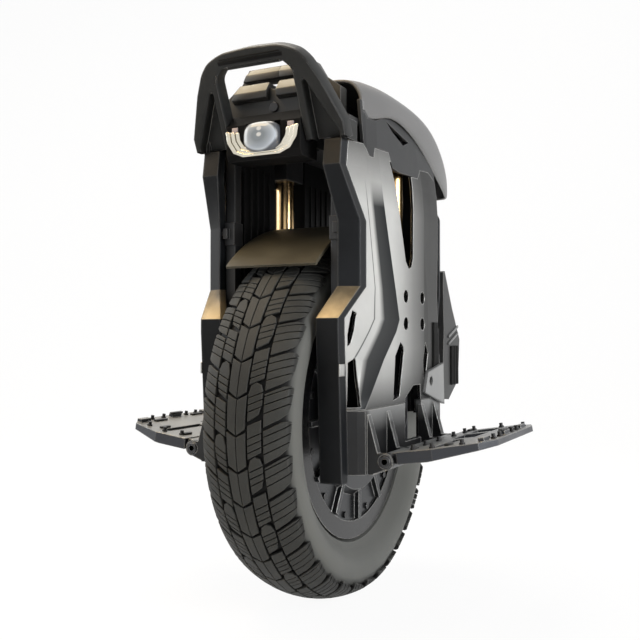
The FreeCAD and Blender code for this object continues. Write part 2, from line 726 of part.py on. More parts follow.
# Lower edge of the upper trim: x, drop below the bridge, outward sense of the seam in x
TRIM_EDGE = (
    (104.0, 20.0, 1), (95.0, 31.0, 1), (87.0, 31.0, -1), (82.0, 20.0, -1), (45.0, 18.0, 1), (39.0, 34.0, 1),
    (20.0, 36.0, 0), (-36.0, 33.0, 0), (-48.0, 21.0, -1), (-79.0, 18.0, -1), (-106.0, 28.0, -1),
)
TRIM_SLIT = ((44.0, 16.0), (-20.0, 5.0), (0.0, -2.0), (30.0, 8.0))

# Panel openings as x and height above the axle, or below the bridge for the tube window's top;
# the bumper's front edge as a share of the rear column's bend
WINDOW_TOP = ((46.0, 28.0), (-16.0, 28.0))
WINDOW_FOOT = ((-14.0, 178.0), (-8.0, 167.0), (0.0, 165.0), (9.0, 172.0), (32.0, 237.0))
FRONT_SLOT = ((25.0, 84.0), (17.0, 79.0), (15.0, 73.0), (28.0, 25.0), (46.0, 22.0), (40.0, 69.0))
REAR_SLOT = ((-52.0, 83.0), (-61.0, 70.0), (-54.0, 48.0), (-46.0, 40.0), (-44.0, 62.0))
NOSE_SLOT = ((122.0, 116.0), (113.0, 113.0), (118.0, 96.0), (125.0, 83.0), (130.0, 80.0), (130.0, 92.0))
CHANNEL = ((130.0, 64.0), (120.0, 69.0), (119.0, 27.0), (120.0, 20.0), (130.0, 20.0))
ARCH = ((12.0, 0.0), (12.0, 22.0), (-13.0, 35.0), (-35.0, 35.0), (-38.0, 0.0))
HEEL = ((-40.0, 25.0), (-50.0, 49.0), (-104.0, 58.0), (-107.0, 8.0))
HEEL_THICK = 4.0
HEEL_HOLE = (-60.0, 38.0)
BUMPER_REAR = ((-152.0, 10.0), (-190.0, 33.0), (-196.0, 86.0), (-166.0, 126.0), (-138.0, 172.0))
BUMPER_FRONT = ((0.84, 170.0), (0.84, 141.0), (1.0, 96.0), (1.0, 94.0), (0.33, 12.0))
BUMPER_INSET = 9.0

# Top cover along its length: x, rim, shoulder and top above the bridge, insets of side and top from the flank
SEAT_LEVELS = (
    (100.0, 7.5, 30.0, 51.0, 11.0, 26.0),
    (72.0, 11.0, 38.0, 56.0, 7.0, 25.0),
    (40.0, 22.0, 42.0, 59.0, 5.0, 25.0),
    (0.0, 21.0, 42.0, 59.0, 5.0, 25.0),
    (-50.0, 9.0, 40.0, 58.0, 5.0, 25.0),
    (-105.0, -16.0, 30.0, 54.0, 6.0, 26.0),
    (-160.0, -32.0, 6.0, 38.0, 12.0, 32.0),
    (TAIL_REAR, -33.0, -8.0, 10.0, 24.0, 38.0),
)

# Bends of the handle hoop's outer edge: inset from its half width, drop below its top
TREAD_GROOVES = (
    (0.0, RING_SHARES[0], 2.0, 26.0, 0.6, 0.6),
    (RING_SHARES[0], RING_SHARES[1], 4.0, 25.0, -3.0, 1.2),
    (RING_SHARES[1], LUG_SHARE, 4.5, 28.0, -2.0, 2.2),
)
HANDLE_EDGE = ((0.0, 82.0), (17.0, 39.0), (27.5, 19.0), (36.5, 9.5), (47.0, 4.8), (58.0, 1.6))

# Tail block in side view: set back from the bridge's end or the tail, drop below its top
TAIL_FRONT_STEP = (2.0, 18.0)
TAIL_REAR_STEPS = (9.0, 17.0)

# Pedal edge from heel to toe: inset from the plate's end and from its full reach
PEDAL_HEEL = ((0.0, 35.0), (16.0, 8.0), (44.0, 0.0))
PEDAL_TOE = ((38.0, 0.0), (16.0, 13.0), (0.0, 55.0))

# Pedal: places of the spikes, grip blocks and windows as x and reach from the hinge
SPIKES = (
    (104.0, 47.0), (96.0, 75.0), (64.0, 97.0), (42.0, 97.0), (-4.0, 97.0), (-24.0, 97.0), (-68.0, 93.0),
    (-96.0, 60.0), (-96.0, 27.0), (60.0, 24.0), (20.0, 24.0), (-30.0, 24.0), (-70.0, 24.0), (100.0, 26.0),
)
GRIP_BLOCKS = ((84.0, 93.0), (20.0, 96.0), (-44.0, 96.0))
PEDAL_WINDOWS = ((-88.0, -48.0), (-36.0, 14.0))
WINDOW_REACH = (34.0, 62.0)
GROOVE_REACH = (44.0, 54.0)


def above_axle(outline):
    """Side-view outline with its heights measured from the axle."""
    return [(x, AXLE_Z + z) for x, z in outline]


def column_back(z):
    """Back outer edge of the front column at a height, between its bends."""
    rows = COLUMN_LEVELS
    z = min(max(z, rows[0][0]), rows[-1][0])
    for low, high in zip(rows, rows[1:]):
        if z <= high[0]:
            share = (z - low[0]) / (high[0] - low[0])
            x = low[3] + share * (high[3] - low[3])
            step = low[4] + share * (high[4] - low[4])
            return x - COLUMN_THICK, COLUMN_IN_Y + step + SKIP


def front_column():
    """Left front column: deep below, drawn back at the waist, forward again under the handle."""
    sections = []
    for z, x_in, step_in, x_out, step_out in COLUMN_LEVELS:
        y_in = COLUMN_IN_Y + step_in
        y_out = COLUMN_IN_Y + step_out
        sections.append([Vector(x_in, y_in, z), Vector(x_out, y_out, z),
                         Vector(x_out - COLUMN_THICK, y_out + SKIP, z), Vector(x_in - COLUMN_THICK, y_in, z)])
    return loft(sections)


def shell_section(row, wall):
    """Plan outline of the side shell at one height."""
    z, ridge_front, ridge_rear, flat_end, rear, lean, depth = row
    flat = FLANK_Y - lean
    edge_x, edge_y = column_back(z)
    front_y = min(edge_y, flat - depth - SKIP)
    outer = [(edge_x - SEAM, front_y), (ridge_front, flat - depth), (ridge_rear, flat),
             (flat_end, flat), (rear, flat - REAR_SLOPE)]
    inner = [(x, y - wall) for x, y in reversed(outer)]
    return [Vector(x, y, z) for x, y in outer + inner]


def side_shell():
    """Left outer skin from the pedal bracket to the top cover, before it is divided."""
    return loft([shell_section(row, PANEL_WALL) for row in SHELL_LEVELS[1:]])


def across(outline):
    """Cutter through the left flank."""
    return prism_xz(outline, LINER_Y, FLANK_Y + FLANK_OFFSET)


def trim_cutter(gap):
    """Region of the upper trim, grown by the seam for the panel below it."""
    high = BRIDGE_Z + FLANK_OFFSET
    edge = [(x + sense * gap, BRIDGE_Z - drop - gap) for x, drop, sense in TRIM_EDGE]
    return across([(edge[0][0], high)] + edge + [(CASE_REAR - gap, high)])


def pad_holes():
    """Four round holes that take an accessory pad."""
    cutters = []
    for i in (-1, 1):
        for j in (-1, 1):
            x = PAD_CENTRE_X + i * PAD_SPACING_X / 2
            z = AXLE_Z + PAD_HEIGHT + j * PAD_SPACING_Z / 2
            cutters.append(rod(PAD_HOLE_RADIUS, (x, LINER_Y, z), (0, 1, 0), 2 * FLANK_OFFSET))
    return cutters


def panel_cutouts():
    """Tube window, slots, front channel and fork arch of the left panel."""
    window = [(x, BRIDGE_Z - drop) for x, drop in WINDOW_TOP] + above_axle(WINDOW_FOOT)
    others = [above_axle(outline) for outline in (FRONT_SLOT, REAR_SLOT, NOSE_SLOT, CHANNEL, ARCH)]
    return [across(outline) for outline in [window] + others]


def panel_bosses():
    """Bosses from the panel's back to the battery cases."""
    front = (CASE_BAY_FRONT + CASE_FRONT) / 2
    places = ((front - 2 * BOSS_RADIUS, BRIDGE_Z - BOSS_DROP), (front, AXLE_Z + BOSS_RISE),
              (CASE_BAY_REAR - 2 * BOSS_RADIUS, AXLE_Z + REAR_BOSS_RISE))
    length = FLANK_Y - CASE_OUT_Y - PANEL_WALL / 2
    return [rod(BOSS_RADIUS, (x, CASE_OUT_Y, z), (0, 1, 0), length) for x, z in places]


def side_panel():
    """Left side panel: bent satin shell with an X-shaped face, holes, slots and bosses."""
    start, drop, _ = TRIM_EDGE[0]
    over_foot = box(start - SKIP, 2 * HANDLE_X, LINER_Y, 2 * FLANK_Y, BRIDGE_Z - drop, 2 * HANDLE_TOP)
    cutters = [trim_cutter(SEAM), over_foot] + panel_cutouts() + pad_holes()
    return fuse([side_shell().cut(cutters)] + panel_bosses())


def upper_trim():
    """Dark stepped trim between the side panel and the top cover."""
    slit = across([(x, BRIDGE_Z + rise) for x, rise in TRIM_SLIT])
    piece = side_shell().common(trim_cutter(0)).cut([slit, seat_form(SEAT_GAP)])
    return max(piece.Solids, key=lambda solid: solid.Volume)


def seat_form(grow, front=0.0, rim=0.0):
    """Form of the top cover, grown or shrunk evenly, with its front and rim run on."""
    sections = []
    for x, rim_z, shoulder_z, top_z, inset, inset_top in SEAT_LEVELS:
        if x == SEAT_LEVELS[0][0]:
            x = x + max(grow, 0.0) + front
        if x == TAIL_REAR:
            x = x - grow
        wide = FLANK_Y - inset + grow
        narrow = FLANK_Y - inset_top + grow
        low = BRIDGE_Z + rim_z - max(grow, 0.0) - rim
        outline = [(wide, low), (wide, BRIDGE_Z + shoulder_z), (narrow, BRIDGE_Z + top_z + grow)]
        outline += [(-y, z) for y, z in reversed(outline)]
        sections.append([Vector(x, y, z) for y, z in outline])
    return loft(sections)


def seat_cover():
    """Long top cover: crowned shell, open below and in front, with posts down to the bridge."""
    shell = seat_form(0).cut(seat_form(-SEAT_WALL, SKIP, SKIP))
    half = console_half() + SEAT_RIB
    posts = []
    for x in (SEAT_LEVELS[1][0], TRAY_REAR):
        block = box(x - SEAT_RIB / 2, x + SEAT_RIB / 2, half, half + SEAT_RIB, DECK_Z, HANDLE_TOP)
        post = block.common(seat_form(-SEAT_WALL / 2, 0, TAIL_DROP))
        posts += [post, mirrored(post)]
    return fuse([shell] + posts)


def battery_case(x0, x1):
    """Left battery case: a tall box, open on top under the bridge, ribbed on the wheel side."""
    low = AXLE_Z + CASE_BOTTOM
    shell = box(x0, x1, LINER_Y, CASE_OUT_Y, low, BRIDGE_Z)
    room = box(x0 + CASE_WALL, x1 - CASE_WALL, LINER_Y + CASE_WALL, CASE_OUT_Y - CASE_WALL,
               low + CASE_WALL, BRIDGE_Z + SKIP)
    pitch = (x1 - x0) / (CASE_RIBS + 1)
    ribs = [box(x0 + i * pitch - SKIP, x0 + i * pitch + SKIP, LINER_Y - CASE_RIB, LINER_Y + SKIP,
                low, BRIDGE_Z - CLAMP_HEIGHT) for i in range(1, CASE_RIBS + 1)]
    return fuse([shell.cut(room)] + ribs)


def battery_packs():
    """Four wrapped cell packs, standing in their cases."""
    low = AXLE_Z + CASE_BOTTOM + CASE_WALL
    high = BRIDGE_Z - PACK_HEADROOM
    inset = CASE_WALL + PACK_GAP
    packs = []
    for x0, x1 in ((CASE_BAY_FRONT, CASE_FRONT), (CASE_REAR, CASE_BAY_REAR)):
        packs.append(box(x0 + inset, x1 - inset, LINER_Y + inset, CASE_OUT_Y - inset, low, high))
    return group(packs + [mirrored(pack) for pack in packs])


def bridge_screw_places():
    """Places of the screws that pull the clamps up to the bridge."""
    half = STANCHION_RADIUS + CLAMP_WALL / 2
    step = LEG_RADIUS - CLAMP_WALL
    return [(FORK_X + i * half, FORK_Y + j * step) for i in (-1, 1) for j in (-1, 1)]


def bridge_screws():
    """Cap screws through the bridge into each clamp."""
    screws = []
    for x, y in bridge_screw_places():
        shank = rod(SCREW_RADIUS, (x, y, BRIDGE_Z - SCREW_LENGTH), (0, 0, 1), SCREW_LENGTH + BRIDGE_THICK)
        head = rod(SCREW_HEAD_RADIUS, (x, y, DECK_Z), (0, 0, 1), SCREW_HEAD)
        screws.append(fuse([shank, head]))
    return group(screws + [mirrored(screw) for screw in screws])


def bridge_screw_holes():
    """Holes for the bridge screws on both sides."""
    depth = SCREW_LENGTH + BRIDGE_THICK + 2 * SEAM
    holes = [rod(SCREW_RADIUS + RUN_FIT, (x, y, BRIDGE_Z - SCREW_LENGTH - SEAM), (0, 0, 1), depth)
             for x, y in bridge_screw_places()]
    return holes + [mirrored(hole) for hole in holes]


def rail_block(depth, width, z0, z1):
    """Rectangular bar on the left trolley line."""
    return box(TROLLEY_X - depth / 2, TROLLEY_X + depth / 2, RAIL_Y - width / 2, RAIL_Y + width / 2, z0, z1)


def stage_size():
    """Outer depth and width of the trolley's middle stage."""
    slack = 2 * RAIL_WALL + SEAM
    return RAIL_DEPTH - slack, RAIL_WIDTH - slack


def upper_bridge():
    """Top plate that ties both sides together and closes the battery cases."""
    tail = CASE_OUT_Y - REAR_THICK - REAR_CHAMFER
    side = [(BRIDGE_FRONT, CASE_OUT_Y), (CASE_REAR, CASE_OUT_Y), (CASE_REAR - SKIP, tail),
            (REAR_X - REAR_CHAMFER, tail), (BRIDGE_REAR, tail - COLUMN_THICK)]
    plate = prism_xy(side + [(x, -y) for x, y in reversed(side)], BRIDGE_Z, DECK_Z)
    depth, width = stage_size()
    slot = rail_block(depth + SEAM, width + SEAM, BRIDGE_Z - SKIP, DECK_Z + SKIP)
    return plate.cut([slot, mirrored(slot)] + bridge_screw_holes())


def trolley_rails():
    """Fixed outer rail of the trolley on each side, with its clip and tie pin to the column."""
    low = BRIDGE_Z - RAIL_LENGTH
    tube = rail_block(RAIL_DEPTH, RAIL_WIDTH, low, BRIDGE_Z)
    clip_z = BRIDGE_Z - RAIL_CLIP_DROP
    clip = rail_block(RAIL_DEPTH + 2 * CASE_WALL, RAIL_WIDTH + SKIP, clip_z - RAIL_DEPTH, clip_z + RAIL_DEPTH)
    side_y = RAIL_Y + RAIL_WIDTH / 2
    pin_radius = 2 * RAIL_WALL
    pin_x = COLUMN_WAIST[1] - COLUMN_THICK / 2
    pin = rod(pin_radius, (pin_x, side_y - RAIL_WALL, clip_z), (0, 1, 0),
              COLUMN_IN_Y + COLUMN_WAIST[2] - side_y + RAIL_WALL)
    tab = box(TROLLEY_X, pin_x + pin_radius, RAIL_Y, side_y, clip_z - RAIL_WIDTH / 2, clip_z + RAIL_WIDTH / 2)
    room = rail_block(RAIL_DEPTH - 2 * RAIL_WALL, RAIL_WIDTH - 2 * RAIL_WALL, low + RAIL_WALL,
                      BRIDGE_Z + SKIP)
    return both_sides(fuse([tube, clip, tab, pin]).cut(room))


def trolley_stage():
    """Middle stage of the trolley: a thin tube in each rail."""
    depth, width = stage_size()
    low = BRIDGE_Z - RAIL_LENGTH + RAIL_WALL + SEAM
    tube = rail_block(depth, width, low, DECK_Z)
    room = rail_block(depth - 2 * RAIL_WALL, width - 2 * RAIL_WALL, low + RAIL_WALL, DECK_Z + SKIP)
    return both_sides(tube.cut(room))


def trolley_grip():
    """Trolley grip: crossbar, two shoulders and a rod down each stage."""
    depth, width = stage_size()
    slack = 2 * RAIL_WALL + SEAM
    low = BRIDGE_Z - RAIL_LENGTH + 2 * RAIL_WALL + 2 * SEAM
    foot = DECK_Z + 2 * SKIP
    half = RAIL_WIDTH / 2 + SEAM
    corner = RAIL_Y - GRIP_CORNER
    side = [(corner, GRIP_TOP), (corner + GRIP_BEND, GRIP_TOP - GRIP_SHOULDER / 2),
            (RAIL_Y + half, GRIP_TOP - GRIP_SHOULDER), (RAIL_Y + half, foot),
            (RAIL_Y - half, foot), (RAIL_Y - half, GRIP_LOW - GRIP_SHOULDER / 2), (corner, GRIP_LOW)]
    outline = side + [(-y, z) for y, z in reversed(side)]
    bar = prism_yz(outline, TROLLEY_X - RAIL_DEPTH / 2 - SKIP, TROLLEY_X + RAIL_DEPTH / 2 + SKIP)
    stem = rail_block(depth - slack, width - slack, low, foot + SKIP)
    return fuse([bar, stem, mirrored(stem)])


def console_front():
    """Front face of the control housing, behind the handle."""
    return HANDLE_X - CONSOLE_GAP


def console_half():
    """Half width of the control housing, between the trolley legs."""
    return RAIL_Y - RAIL_WIDTH / 2 - 2 * SKIP


def console():
    """Control housing on the bridge: front block with a thumb notch, tray behind it for the controller."""
    half = console_half()
    top = GRIP_LOW - CONSOLE_DROP
    front = console_front()
    rear = front - CONSOLE_DEPTH
    side = [(half, DECK_Z), (half, top - CONSOLE_SLOPE), (half - CONSOLE_CORNER, top)]
    block = prism_yz(side + [(-y, z) for y, z in reversed(side)], rear, front)
    tray = box(TRAY_REAR, rear + SKIP, -half, half, DECK_Z, DECK_Z + TRAY_HEIGHT)
    room = box(TRAY_REAR + TRAY_WALL, rear - TRAY_WALL, -half + TRAY_WALL, half - TRAY_WALL,
               DECK_Z + TRAY_WALL, DECK_Z + TRAY_HEIGHT + SKIP)
    notch = rod(NOTCH_RADIUS, (rear - SKIP, 0, top), (1, 0, 0), CONSOLE_DEPTH + 2 * SKIP)
    pocket = rod(BUTTON_RADIUS + RUN_FIT, (front - BUTTON_LENGTH, 0, DECK_Z + BUTTON_HEIGHT), (1, 0, 0),
                 BUTTON_LENGTH + SKIP)
    return fuse([block, tray]).cut([room, notch, pocket])


def power_button():
    """Round push button, standing proud by its travel."""
    start = console_front() - BUTTON_LENGTH + BUTTON_TRAVEL + SEAM
    return rod(BUTTON_RADIUS, (start, 0, DECK_Z + BUTTON_HEIGHT), (1, 0, 0), BUTTON_LENGTH)


def controller_board():
    """Motor controller board on the tray floor, with rows of tall components."""
    half = console_half() - TRAY_WALL - SKIP
    low = DECK_Z + TRAY_WALL
    rear = TRAY_REAR + TRAY_WALL + SKIP
    front = console_front() - CONSOLE_DEPTH - TRAY_WALL - SKIP
    board = box(rear, front, -half, half, low, low + BOARD_THICK)
    pitch = (front - rear) / BANK_COUNT
    banks = []
    for i in range(BANK_COUNT):
        x = rear + (i + 0.5) * pitch
        banks.append(box(x - BANK_LENGTH / 2, x + BANK_LENGTH / 2, -half + FIN_PITCH, half - FIN_PITCH,
                         low, low + BOARD_THICK + BANK_HEIGHT))
    return fuse([board] + banks)


def heat_sink():
    """Finned block under the bridge, in the air stream behind the lamp."""
    front = LAMP_REAR - SKIP
    rear = front - SINK_LENGTH
    half = LAMP_HALF - LAMP_WALL
    base = box(rear, front, -half, half, BRIDGE_Z - BRIDGE_THICK, BRIDGE_Z)
    count = int((2 * half - FIN_THICK) / FIN_PITCH) + 1
    span = (count - 1) * FIN_PITCH + FIN_THICK
    fins = [box(rear, front, i * FIN_PITCH - span / 2, i * FIN_PITCH - span / 2 + FIN_THICK,
                BRIDGE_Z - SINK_HEIGHT, BRIDGE_Z - BRIDGE_THICK + SKIP) for i in range(count)]
    return fuse([base] + fins)


def lens_block(grow, rear, front):
    """Lens opening or body between two places, with an even margin."""
    centre = BRIDGE_Z - LENS_DROP
    half = LENS_HEIGHT / 2 + grow
    return box(rear, front, -LENS_HALF - grow, LENS_HALF + grow, centre - half, centre + half)


def lamp_housing():
    """Headlamp housing: box under the bridge with a hump in front of it."""
    bottom = BRIDGE_Z - LAMP_DROP
    nose = console_front() + SEAM
    hump = BRIDGE_Z + LAMP_HUMP
    side = [(LAMP_REAR, BRIDGE_Z), (LAMP_REAR, bottom), (LAMP_FRONT - LAMP_WALL, bottom),
            (LAMP_FRONT, bottom + LENS_ROUND), (LAMP_FRONT, BRIDGE_Z), (LAMP_FRONT - LAMP_HUMP, hump),
            (nose, hump), (nose, BRIDGE_Z)]
    body = prism_xz(side, -LAMP_HALF, LAMP_HALF)
    room = box(LAMP_REAR + LAMP_WALL, LAMP_FRONT - LENS_ROUND, -LAMP_HALF + LAMP_WALL, LAMP_HALF - LAMP_WALL,
               bottom + LAMP_WALL, BRIDGE_Z - LAMP_WALL)
    return body.cut([room, lens_block(SEAM, LAMP_FRONT - LENS_ROUND - SKIP, LAMP_FRONT + SKIP)])


def lamp_lens():
    """Squarish projector lens with a rounded front."""
    face = LAMP_FRONT + LENS_RISE
    block = lens_block(0, LAMP_FRONT - LENS_ROUND, face)
    front = [edge for edge in block.Edges if edge.BoundBox.XMin > face - SKIP]
    return block.makeFillet(LENS_ROUND, front)


def lamp_bezel():
    """Bright U-shaped strip under and beside the lens."""
    low = BRIDGE_Z - LENS_DROP - LENS_HEIGHT / 2
    arm = BEZEL_BAND + LENS_ROUND / 2
    outer = [(LAMP_HALF, low + BEZEL_RISE), (LAMP_HALF - arm, low), (LENS_HALF, low - BEZEL_BAND - SKIP)]
    inner = [(LAMP_HALF - arm, low + BEZEL_RISE), (LENS_HALF + BEZEL_BAND, low + SKIP),
             (LENS_HALF + SKIP, low - SKIP)]
    outline = outer + [(-y, z) for y, z in reversed(outer)]
    hollow = inner + [(-y, z) for y, z in reversed(inner)]
    strip = prism_yz(outline, LAMP_FRONT, LAMP_FRONT + SEAT_WALL)
    return strip.cut(prism_yz(hollow, LAMP_FRONT - SKIP, LAMP_FRONT + SEAT_WALL + SKIP))


def lamp_board():
    """Lamp board on the back wall of the housing."""
    bottom = BRIDGE_Z - LAMP_DROP
    back = LAMP_REAR + LAMP_WALL
    edge = LAMP_WALL + SKIP
    plate = box(back, back + BOARD_THICK, -LAMP_HALF + edge, LAMP_HALF - edge, bottom + edge, BRIDGE_Z - edge)
    centre = BRIDGE_Z - LENS_DROP
    half = LENS_HALF / 2
    chip = box(back, back + BOARD_THICK + LAMP_WALL, -half, half, centre - LENS_ROUND, centre + LENS_ROUND)
    return fuse([plate, chip])


def raked(shape):
    """Lean a handle piece forwards about its feet."""
    shape.rotate(Vector(HANDLE_X, 0, FOOT_Z), Vector(0, 1, 0), HANDLE_RAKE_DEG)
    return shape


def carry_handle():
    """Handle hoop leaning forwards: arched bar, splayed legs, inner posts and feet under the bridge."""
    rear = HANDLE_X - HANDLE_DEPTH / 2
    front = HANDLE_X + HANDLE_DEPTH / 2
    low = FOOT_Z - HANDLE_DEPTH
    under = HANDLE_TOP - HANDLE_BAR
    post_in = LAMP_HALF + SEAM
    post_out = post_in + POST_WIDTH
    leg_in = HANDLE_HALF - HANDLE_LEG
    bends = [(HANDLE_HALF - inset, HANDLE_TOP - drop) for inset, drop in HANDLE_EDGE]
    outer = [(HANDLE_HALF, low)] + bends + [(0, HANDLE_TOP)]
    hoop = prism_yz(outer + [(-y, z) for y, z in reversed(outer[:-1])], rear, front)
    middle = [(post_in, low - SKIP), (post_in, under - HANDLE_CORNER), (post_in - HANDLE_CORNER, under)]
    gap = prism_yz(middle + [(-y, z) for y, z in reversed(middle)], rear - SKIP, front + SKIP)
    window_top = under - SPLAY_DROP
    corners = [(post_out, low - SKIP), (post_out, window_top), (post_out + HANDLE_LEG / 2, window_top),
               (leg_in, FOOT_Z + POST_WIDTH), (leg_in, low - SKIP)]
    side = prism_yz(corners, rear + HANDLE_WEB, front + SKIP)
    slot = paddle_block(SEAM, under - SKIP, under + 2 * PADDLE_TRAVEL + SEAM)
    body = raked(hoop.cut([gap, side, mirrored(side), slot]))
    below = box(0, 2 * HANDLE_X, -2 * HANDLE_HALF, 2 * HANDLE_HALF, 0, FOOT_Z)
    foot = box(BRIDGE_FRONT - FOOT_REACH, HANDLE_X, leg_in - POST_WIDTH / 2, leg_in + POST_WIDTH / 2,
               FOOT_Z, BRIDGE_Z)
    return fuse([body.cut(below), foot, mirrored(foot)])


def paddle_block(grow, z0, z1):
    """Paddle or its slot in the handle bar before it leans, with an even margin."""
    reach = HANDLE_DEPTH / 2 - PADDLE_INSET + grow
    half = PADDLE_HALF + grow
    return box(HANDLE_X - reach, HANDLE_X + reach, -half, half, z0, z1)


def lift_paddle():
    """Finger paddle in the underside of the handle bar, which stops the motor for lifting."""
    under = HANDLE_TOP - HANDLE_BAR
    return raked(paddle_block(0, under - PADDLE_TRAVEL, under + PADDLE_TRAVEL))


def rear_column():
    """Left rear column, bent like the front one, under the bridge."""
    sections = []
    for z, step, inset in REAR_LEVELS:
        x = REAR_X - step
        front = REAR_X + REAR_THICK
        edge = FLANK_Y - inset
        sections.append([Vector(x, LINER_Y, z), Vector(x, edge, z),
                         Vector(front, edge + REAR_CHAMFER, z), Vector(front, LINER_Y, z)])
    return loft(sections)


def rear_bumper():
    """Left rear bumper pad behind the column."""
    bend = REAR_LEVELS[1][1]
    front = above_axle([(REAR_X - SEAM - share * bend, z) for share, z in BUMPER_FRONT])
    return prism_xz(front + above_axle(BUMPER_REAR), LINER_Y + BUMPER_INSET, FLANK_Y - REAR_CHAMFER)


def heel_plate():
    """Left trapezoid plate on the panel's rear foot, with one hole."""
    x, z = HEEL_HOLE
    hole = rod(BUTTON_RADIUS, (x, LINER_Y, AXLE_Z + z), (0, 1, 0), 2 * FLANK_OFFSET)
    return prism_xz(above_axle(HEEL), FLANK_Y, FLANK_Y + HEEL_THICK).cut(hole)


def tail_lamp_block(grow, rear):
    """Tail lamp or its pocket, with an even margin."""
    high = BRIDGE_Z - TAIL_DROP - SEAT_WALL
    front = TAIL_REAR + 2 * TAIL_LAMP_HEIGHT
    half = TAIL_LAMP_HALF + grow
    return box(rear, front, -half, half, high - TAIL_LAMP_HEIGHT - grow, high + grow)


def tail_cover():
    """Tail block under the top cover, hung from the bridge."""
    top = BRIDGE_Z - TAIL_DROP
    high_step, low_step = TAIL_REAR_STEPS
    back, drop = TAIL_FRONT_STEP
    side = [(BRIDGE_REAR, top), (TAIL_REAR + high_step, top), (TAIL_REAR + low_step, top - TAIL_DEPTH),
            (BRIDGE_REAR - back, top - drop)]
    block = prism_xz(side, -TAIL_HALF, TAIL_HALF)
    half = TAIL_HALF - REAR_THICK
    post = box(BRIDGE_REAR - REAR_THICK, BRIDGE_REAR + REAR_THICK, -half, half, top - SKIP, BRIDGE_Z)
    socket = rod(SOCKET_RADIUS + SEAT_FIT, (SOCKET_X, TAIL_HALF - SOCKET_DEPTH, top - SOCKET_DROP), (0, 1, 0),
                 2 * SOCKET_DEPTH)
    return fuse([block, post]).cut([socket, tail_lamp_block(SEAM, TAIL_REAR)])


def tail_lamp():
    """Red lens in the tail block's rear face."""
    return tail_lamp_block(0, TAIL_REAR + POST_WIDTH)


def charge_socket():
    """Charging socket in the left face of the tail block."""
    z = BRIDGE_Z - TAIL_DROP - SOCKET_DROP
    back = TAIL_HALF - SOCKET_DEPTH
    body = rod(SOCKET_RADIUS, (SOCKET_X, back, z), (0, 1, 0), SOCKET_DEPTH)
    bore = rod(SOCKET_RADIUS - 2 * SKIP, (SOCKET_X, back + CAP_TAB, z), (0, 1, 0), SOCKET_DEPTH)
    key = rod(2 * SKIP, (SOCKET_X, back + SKIP, z), (0, 1, 0), SOCKET_DEPTH - CAP_TAB)
    return fuse([body.cut(bore), key])


def charge_cap():
    """Cap over the charging socket, with a rolled hinge tab below."""
    z = BRIDGE_Z - TAIL_DROP - SOCKET_DROP
    y = TAIL_HALF + SEAM
    disc = rod(CAP_RADIUS, (SOCKET_X, y, z), (0, 1, 0), CAP_THICK)
    hinge_z = z - CAP_RADIUS - CAP_THICK / 2
    tab = box(SOCKET_X - CAP_TAB, SOCKET_X + CAP_TAB, y, y + CAP_THICK, hinge_z, z)
    roll = rod(CAP_THICK / 2, (SOCKET_X - CAP_TAB, y + CAP_THICK / 2, hinge_z), (1, 0, 0), 2 * CAP_TAB)
    return fuse([disc, tab, roll])


def pedal_bracket():
    """Left pedal bracket: continues the panel downwards, with gussets and hinge knuckles."""
    low = shell_section(SHELL_LEVELS[0], WEB_THICK)
    high = [Vector(v.x, v.y, PANEL_BOTTOM - SEAM) for v in shell_section(SHELL_LEVELS[1], WEB_THICK)]
    arch_z = PIVOT_Z + BARREL_RADIUS
    arch_front, arch_rear = ARCH[0][0], ARCH[-1][0]
    arch = [(arch_front, arch_z), (arch_front, 2 * AXLE_Z), (arch_rear, 2 * AXLE_Z), (arch_rear, arch_z)]
    inner = FLANK_Y - WEB_THICK / 2
    rear_x = GUSSETS[-1] - GUSSET_THICK / 2
    front_x = GUSSETS[0] + GUSSET_THICK / 2
    shelf = box(rear_x, front_x, inner, PIVOT_Y - BARREL_RADIUS - BARREL_GAP - WINDOW_LIP, BRACKET_LOW,
                BRACKET_LOW + GUSSET_THICK)
    outline = [(inner, AXLE_Z + GUSSET_RISE), (FLANK_Y + SKIP, AXLE_Z + GUSSET_RISE),
               (PIVOT_Y - BARREL_RADIUS, PIVOT_Z + BARREL_RADIUS), (PIVOT_Y, PIVOT_Z + BARREL_RADIUS),
               (PIVOT_Y, PIVOT_Z - BARREL_RADIUS), (FLANK_Y + WINDOW_LIP, BRACKET_LOW), (inner, BRACKET_LOW)]
    solids = [loft([low, high]).cut(across(arch)), shelf]
    for x in GUSSETS:
        x0 = x - GUSSET_THICK / 2
        solids.append(prism_yz(outline, x0, x0 + GUSSET_THICK))
        solids.append(rod(BARREL_RADIUS + SEAM, (x0, PIVOT_Y, PIVOT_Z), (1, 0, 0), GUSSET_THICK))
    for x0, x1 in ((CASE_BAY_FRONT, CASE_FRONT), (CASE_REAR, CASE_BAY_REAR)):
        solids.append(box(x0 + COLUMN_THICK, x1 - COLUMN_THICK, CASE_OUT_Y, inner, AXLE_Z + CASE_BOTTOM,
                          PANEL_BOTTOM - SEAM))
    length = front_x - rear_x + 2 * SKIP
    bore = rod(PIN_RADIUS + SEAT_FIT, (rear_x - SKIP, PIVOT_Y, PIVOT_Z), (1, 0, 0), length)
    head_r = PIN_RADIUS + PIN_STEP + SEAT_FIT
    recess = rod(head_r, (front_x - PIN_HEAD, PIVOT_Y, PIVOT_Z), (1, 0, 0), 2 * PIN_HEAD)
    return fuse(solids).cut([bore, recess])


